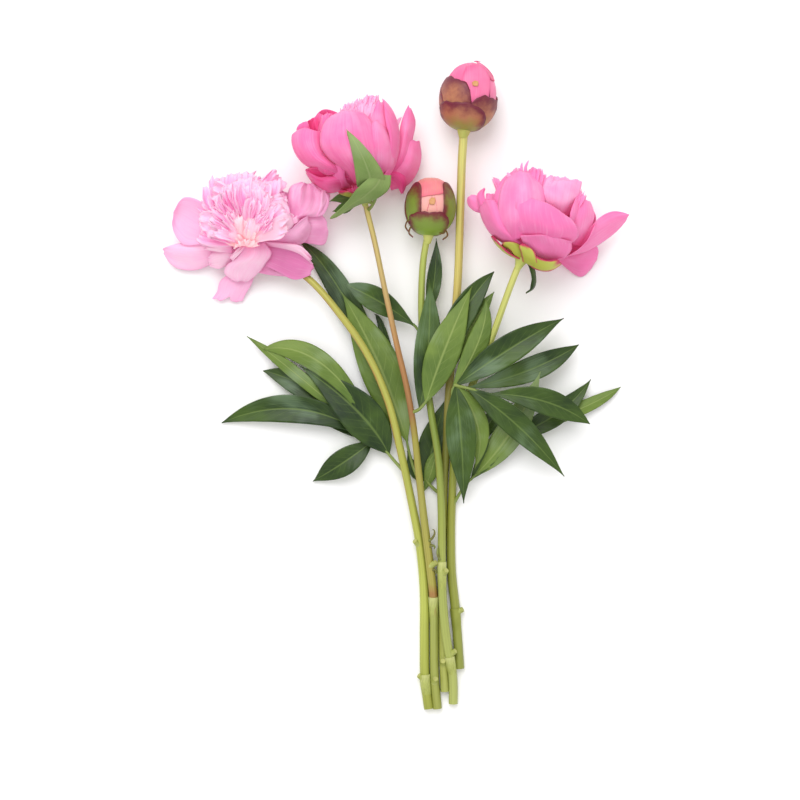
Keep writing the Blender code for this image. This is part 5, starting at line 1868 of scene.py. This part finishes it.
def build_stem(name):
    """A stem is two pieces: the stem with its stubs, joints and neck, and its flower's sepals."""
    flower_name = name.removeprefix("stem_")
    flower = FLOWERS[flower_name]
    finishes = [STEM_FINISHES[name], CUT_END, SHEATH, DRY_BIT, NECK_FINISH, OLIVE_JOINT]
    cut, sheath, dry, green = 1, 2, 3, 4
    joint_finish = 5 if name == "stem_half_bloom" else sheath
    work = new_work()
    add_tube(work, STEMS[name], STEM_RADII[name], steps=70, cut_index=cut)
    for root, lean in STUBS[name]:
        far = np.array(root) + np.array(lean) * STUB_LENGTH
        add_tube(work, [root, far], STUB_RADII, steps=5, sides=12, finish_index=sheath, cut_index=cut)
    for joint, radii in JOINTS.get(name, []):
        add_tube(work, joint, radii, steps=6, sides=20, finish_index=joint_finish)
    for bit in DRY_BITS.get(name, []):
        add_tube(work, bit, DRY_BIT_RADII, steps=10, sides=8, finish_index=dry)
    neck = in_bouquet(flower, np.array([(0, 0, height) for height in NECK_HEIGHTS], float))
    neck_radii = TALL_NECK_RADII if name == "stem_tall_bud" else NECK_RADII
    add_tube(work, neck, neck_radii, steps=8, finish_index=green)
    make_piece(name + "_fine", name, work, finishes)

    work = new_work()
    if flower_name in BUDS:
        add_petals(work, BUD_SEPALS[flower_name], on_bud(flower_name), SEPAL_CELLS, SEPAL_SHEET)
    else:
        add_petals(work, SEPALS[flower_name], on_flower(flower), RING_CELLS, SEPAL_SHEET)
    if flower_name == "green_bud":
        for hair in BUD_HAIRS:
            add_tube(work, hair, HAIR_RADII, steps=14, sides=6, tone=0.3)
    if flower_name == "half_bloom":
        add_petals(work, CALYX_SEPALS, edged_surface, CALYX_CELLS, SEPAL_SHEET)
        add_petals(work, CURLED_BRACT, placed_surface, CURLED_CELLS, SEPAL_SHEET, finish_index=1)
    finishes = [BUD_SEPAL_FINISHES.get(flower_name, CALYX), LEAF_TOP]
    make_piece(name + "_sepals", name, work, finishes, SEPAL_SHEET)


def rooted(leaflet, stalks):
    """The leaflet with its midrib starting just inside the nearest of the leaf's own stalks."""
    joints = [joint for stalk in stalks for joint in smooth_route(stalk, 12)]
    near = min(joints, key=lambda joint: np.linalg.norm(joint - np.array(leaflet.base)))
    onward = np.array(leaflet.middle) - near
    return leaflet._replace(base=tuple(near - 0.9 * onward / np.linalg.norm(onward)))


def build_leaf(name):
    """A leaf is two pieces: its blades, and its stalks. A blade's other face takes the next finish."""
    stalks, leaflets = LEAVES[name]
    under = BRACT_UNDER if name == "leaf_bloom_bract" else LEAF_UNDER
    work = new_work()
    for leaflet in leaflets:
        grown = rooted(leaflet, stalks)

        def surface(across, along, grown=grown):
            return leaflet_surface(grown, across, along)

        add_sheet(work, LEAF_CELLS, surface, finish_index=int(leaflet.underside_up))
    if name == "leaf_bloom_bract":
        add_petals(work, BLOOM_BRACTS, edged_surface, BRACT_CELLS, LEAF_SHEET, finish_index=1)
    faces = [LEAF_TOP, under, LEAF_TOP]
    make_piece(name + "_blades", name, work, faces, LEAF_SHEET, second_face=1)
    work = new_work()
    for stalk in stalks:
        add_tube(work, stalk, PETIOLE_RADII, steps=24, sides=10)
    make_piece(name + "_stalks", name, work, [STALK_FINISH])


def build_stage():
    """A pale floor, a white sky, one broad soft light, and the camera straight above."""
    scene = bpy.context.scene
    work = bmesh.new()
    bmesh.ops.create_grid(work, x_segments=1, y_segments=1, size=FLOOR_HALF_WIDTH)
    mesh = bpy.data.meshes.new("floor")
    work.to_mesh(mesh)
    work.free()
    floor = bpy.data.objects.new("floor", mesh)
    floor.location.z = -FLOOR_DROP
    scene.collection.objects.link(floor)
    material, tree, shader = new_finish("floor_finish", roughness=0.9, specular=0.1)
    shader.inputs["Base Color"].default_value = FLOOR_COLOUR
    mesh.materials.append(material)

    world = bpy.data.worlds.new("white_sky")
    world.use_nodes = True
    sky = world.node_tree.nodes["Background"]
    sky.inputs["Color"].default_value = SKY_COLOUR
    sky.inputs["Strength"].default_value = SKY_STRENGTH
    scene.world = world

    lamp = bpy.data.lights.new("window", "AREA")
    lamp.shape = "DISK"
    lamp.size = LAMP_SIZE
    lamp.energy = LAMP_POWER
    light = bpy.data.objects.new("window", lamp)
    light.location = LAMP_PLACE
    light.rotation_euler = (Vector((0, 0, 0)) - light.location).to_track_quat("-Z", "Y").to_euler()
    scene.collection.objects.link(light)

    lens = bpy.data.cameras.new("camera")
    lens.lens = LENS
    lens.sensor_width = SENSOR_WIDTH
    camera = bpy.data.objects.new("camera", lens)
    camera.location = Vector(CAMERA_PLACE) * MM
    scene.collection.objects.link(camera)
    scene.camera = camera
    scene.view_settings.view_transform = "Standard"


for bloom_name in PETALS:
    build_bloom(bloom_name)
for bud_name in BUDS:
    build_bud(bud_name)
for stem_name in STEMS:
    build_stem(stem_name)
for leaf_name in LEAVES:
    build_leaf(leaf_name)
build_stage()
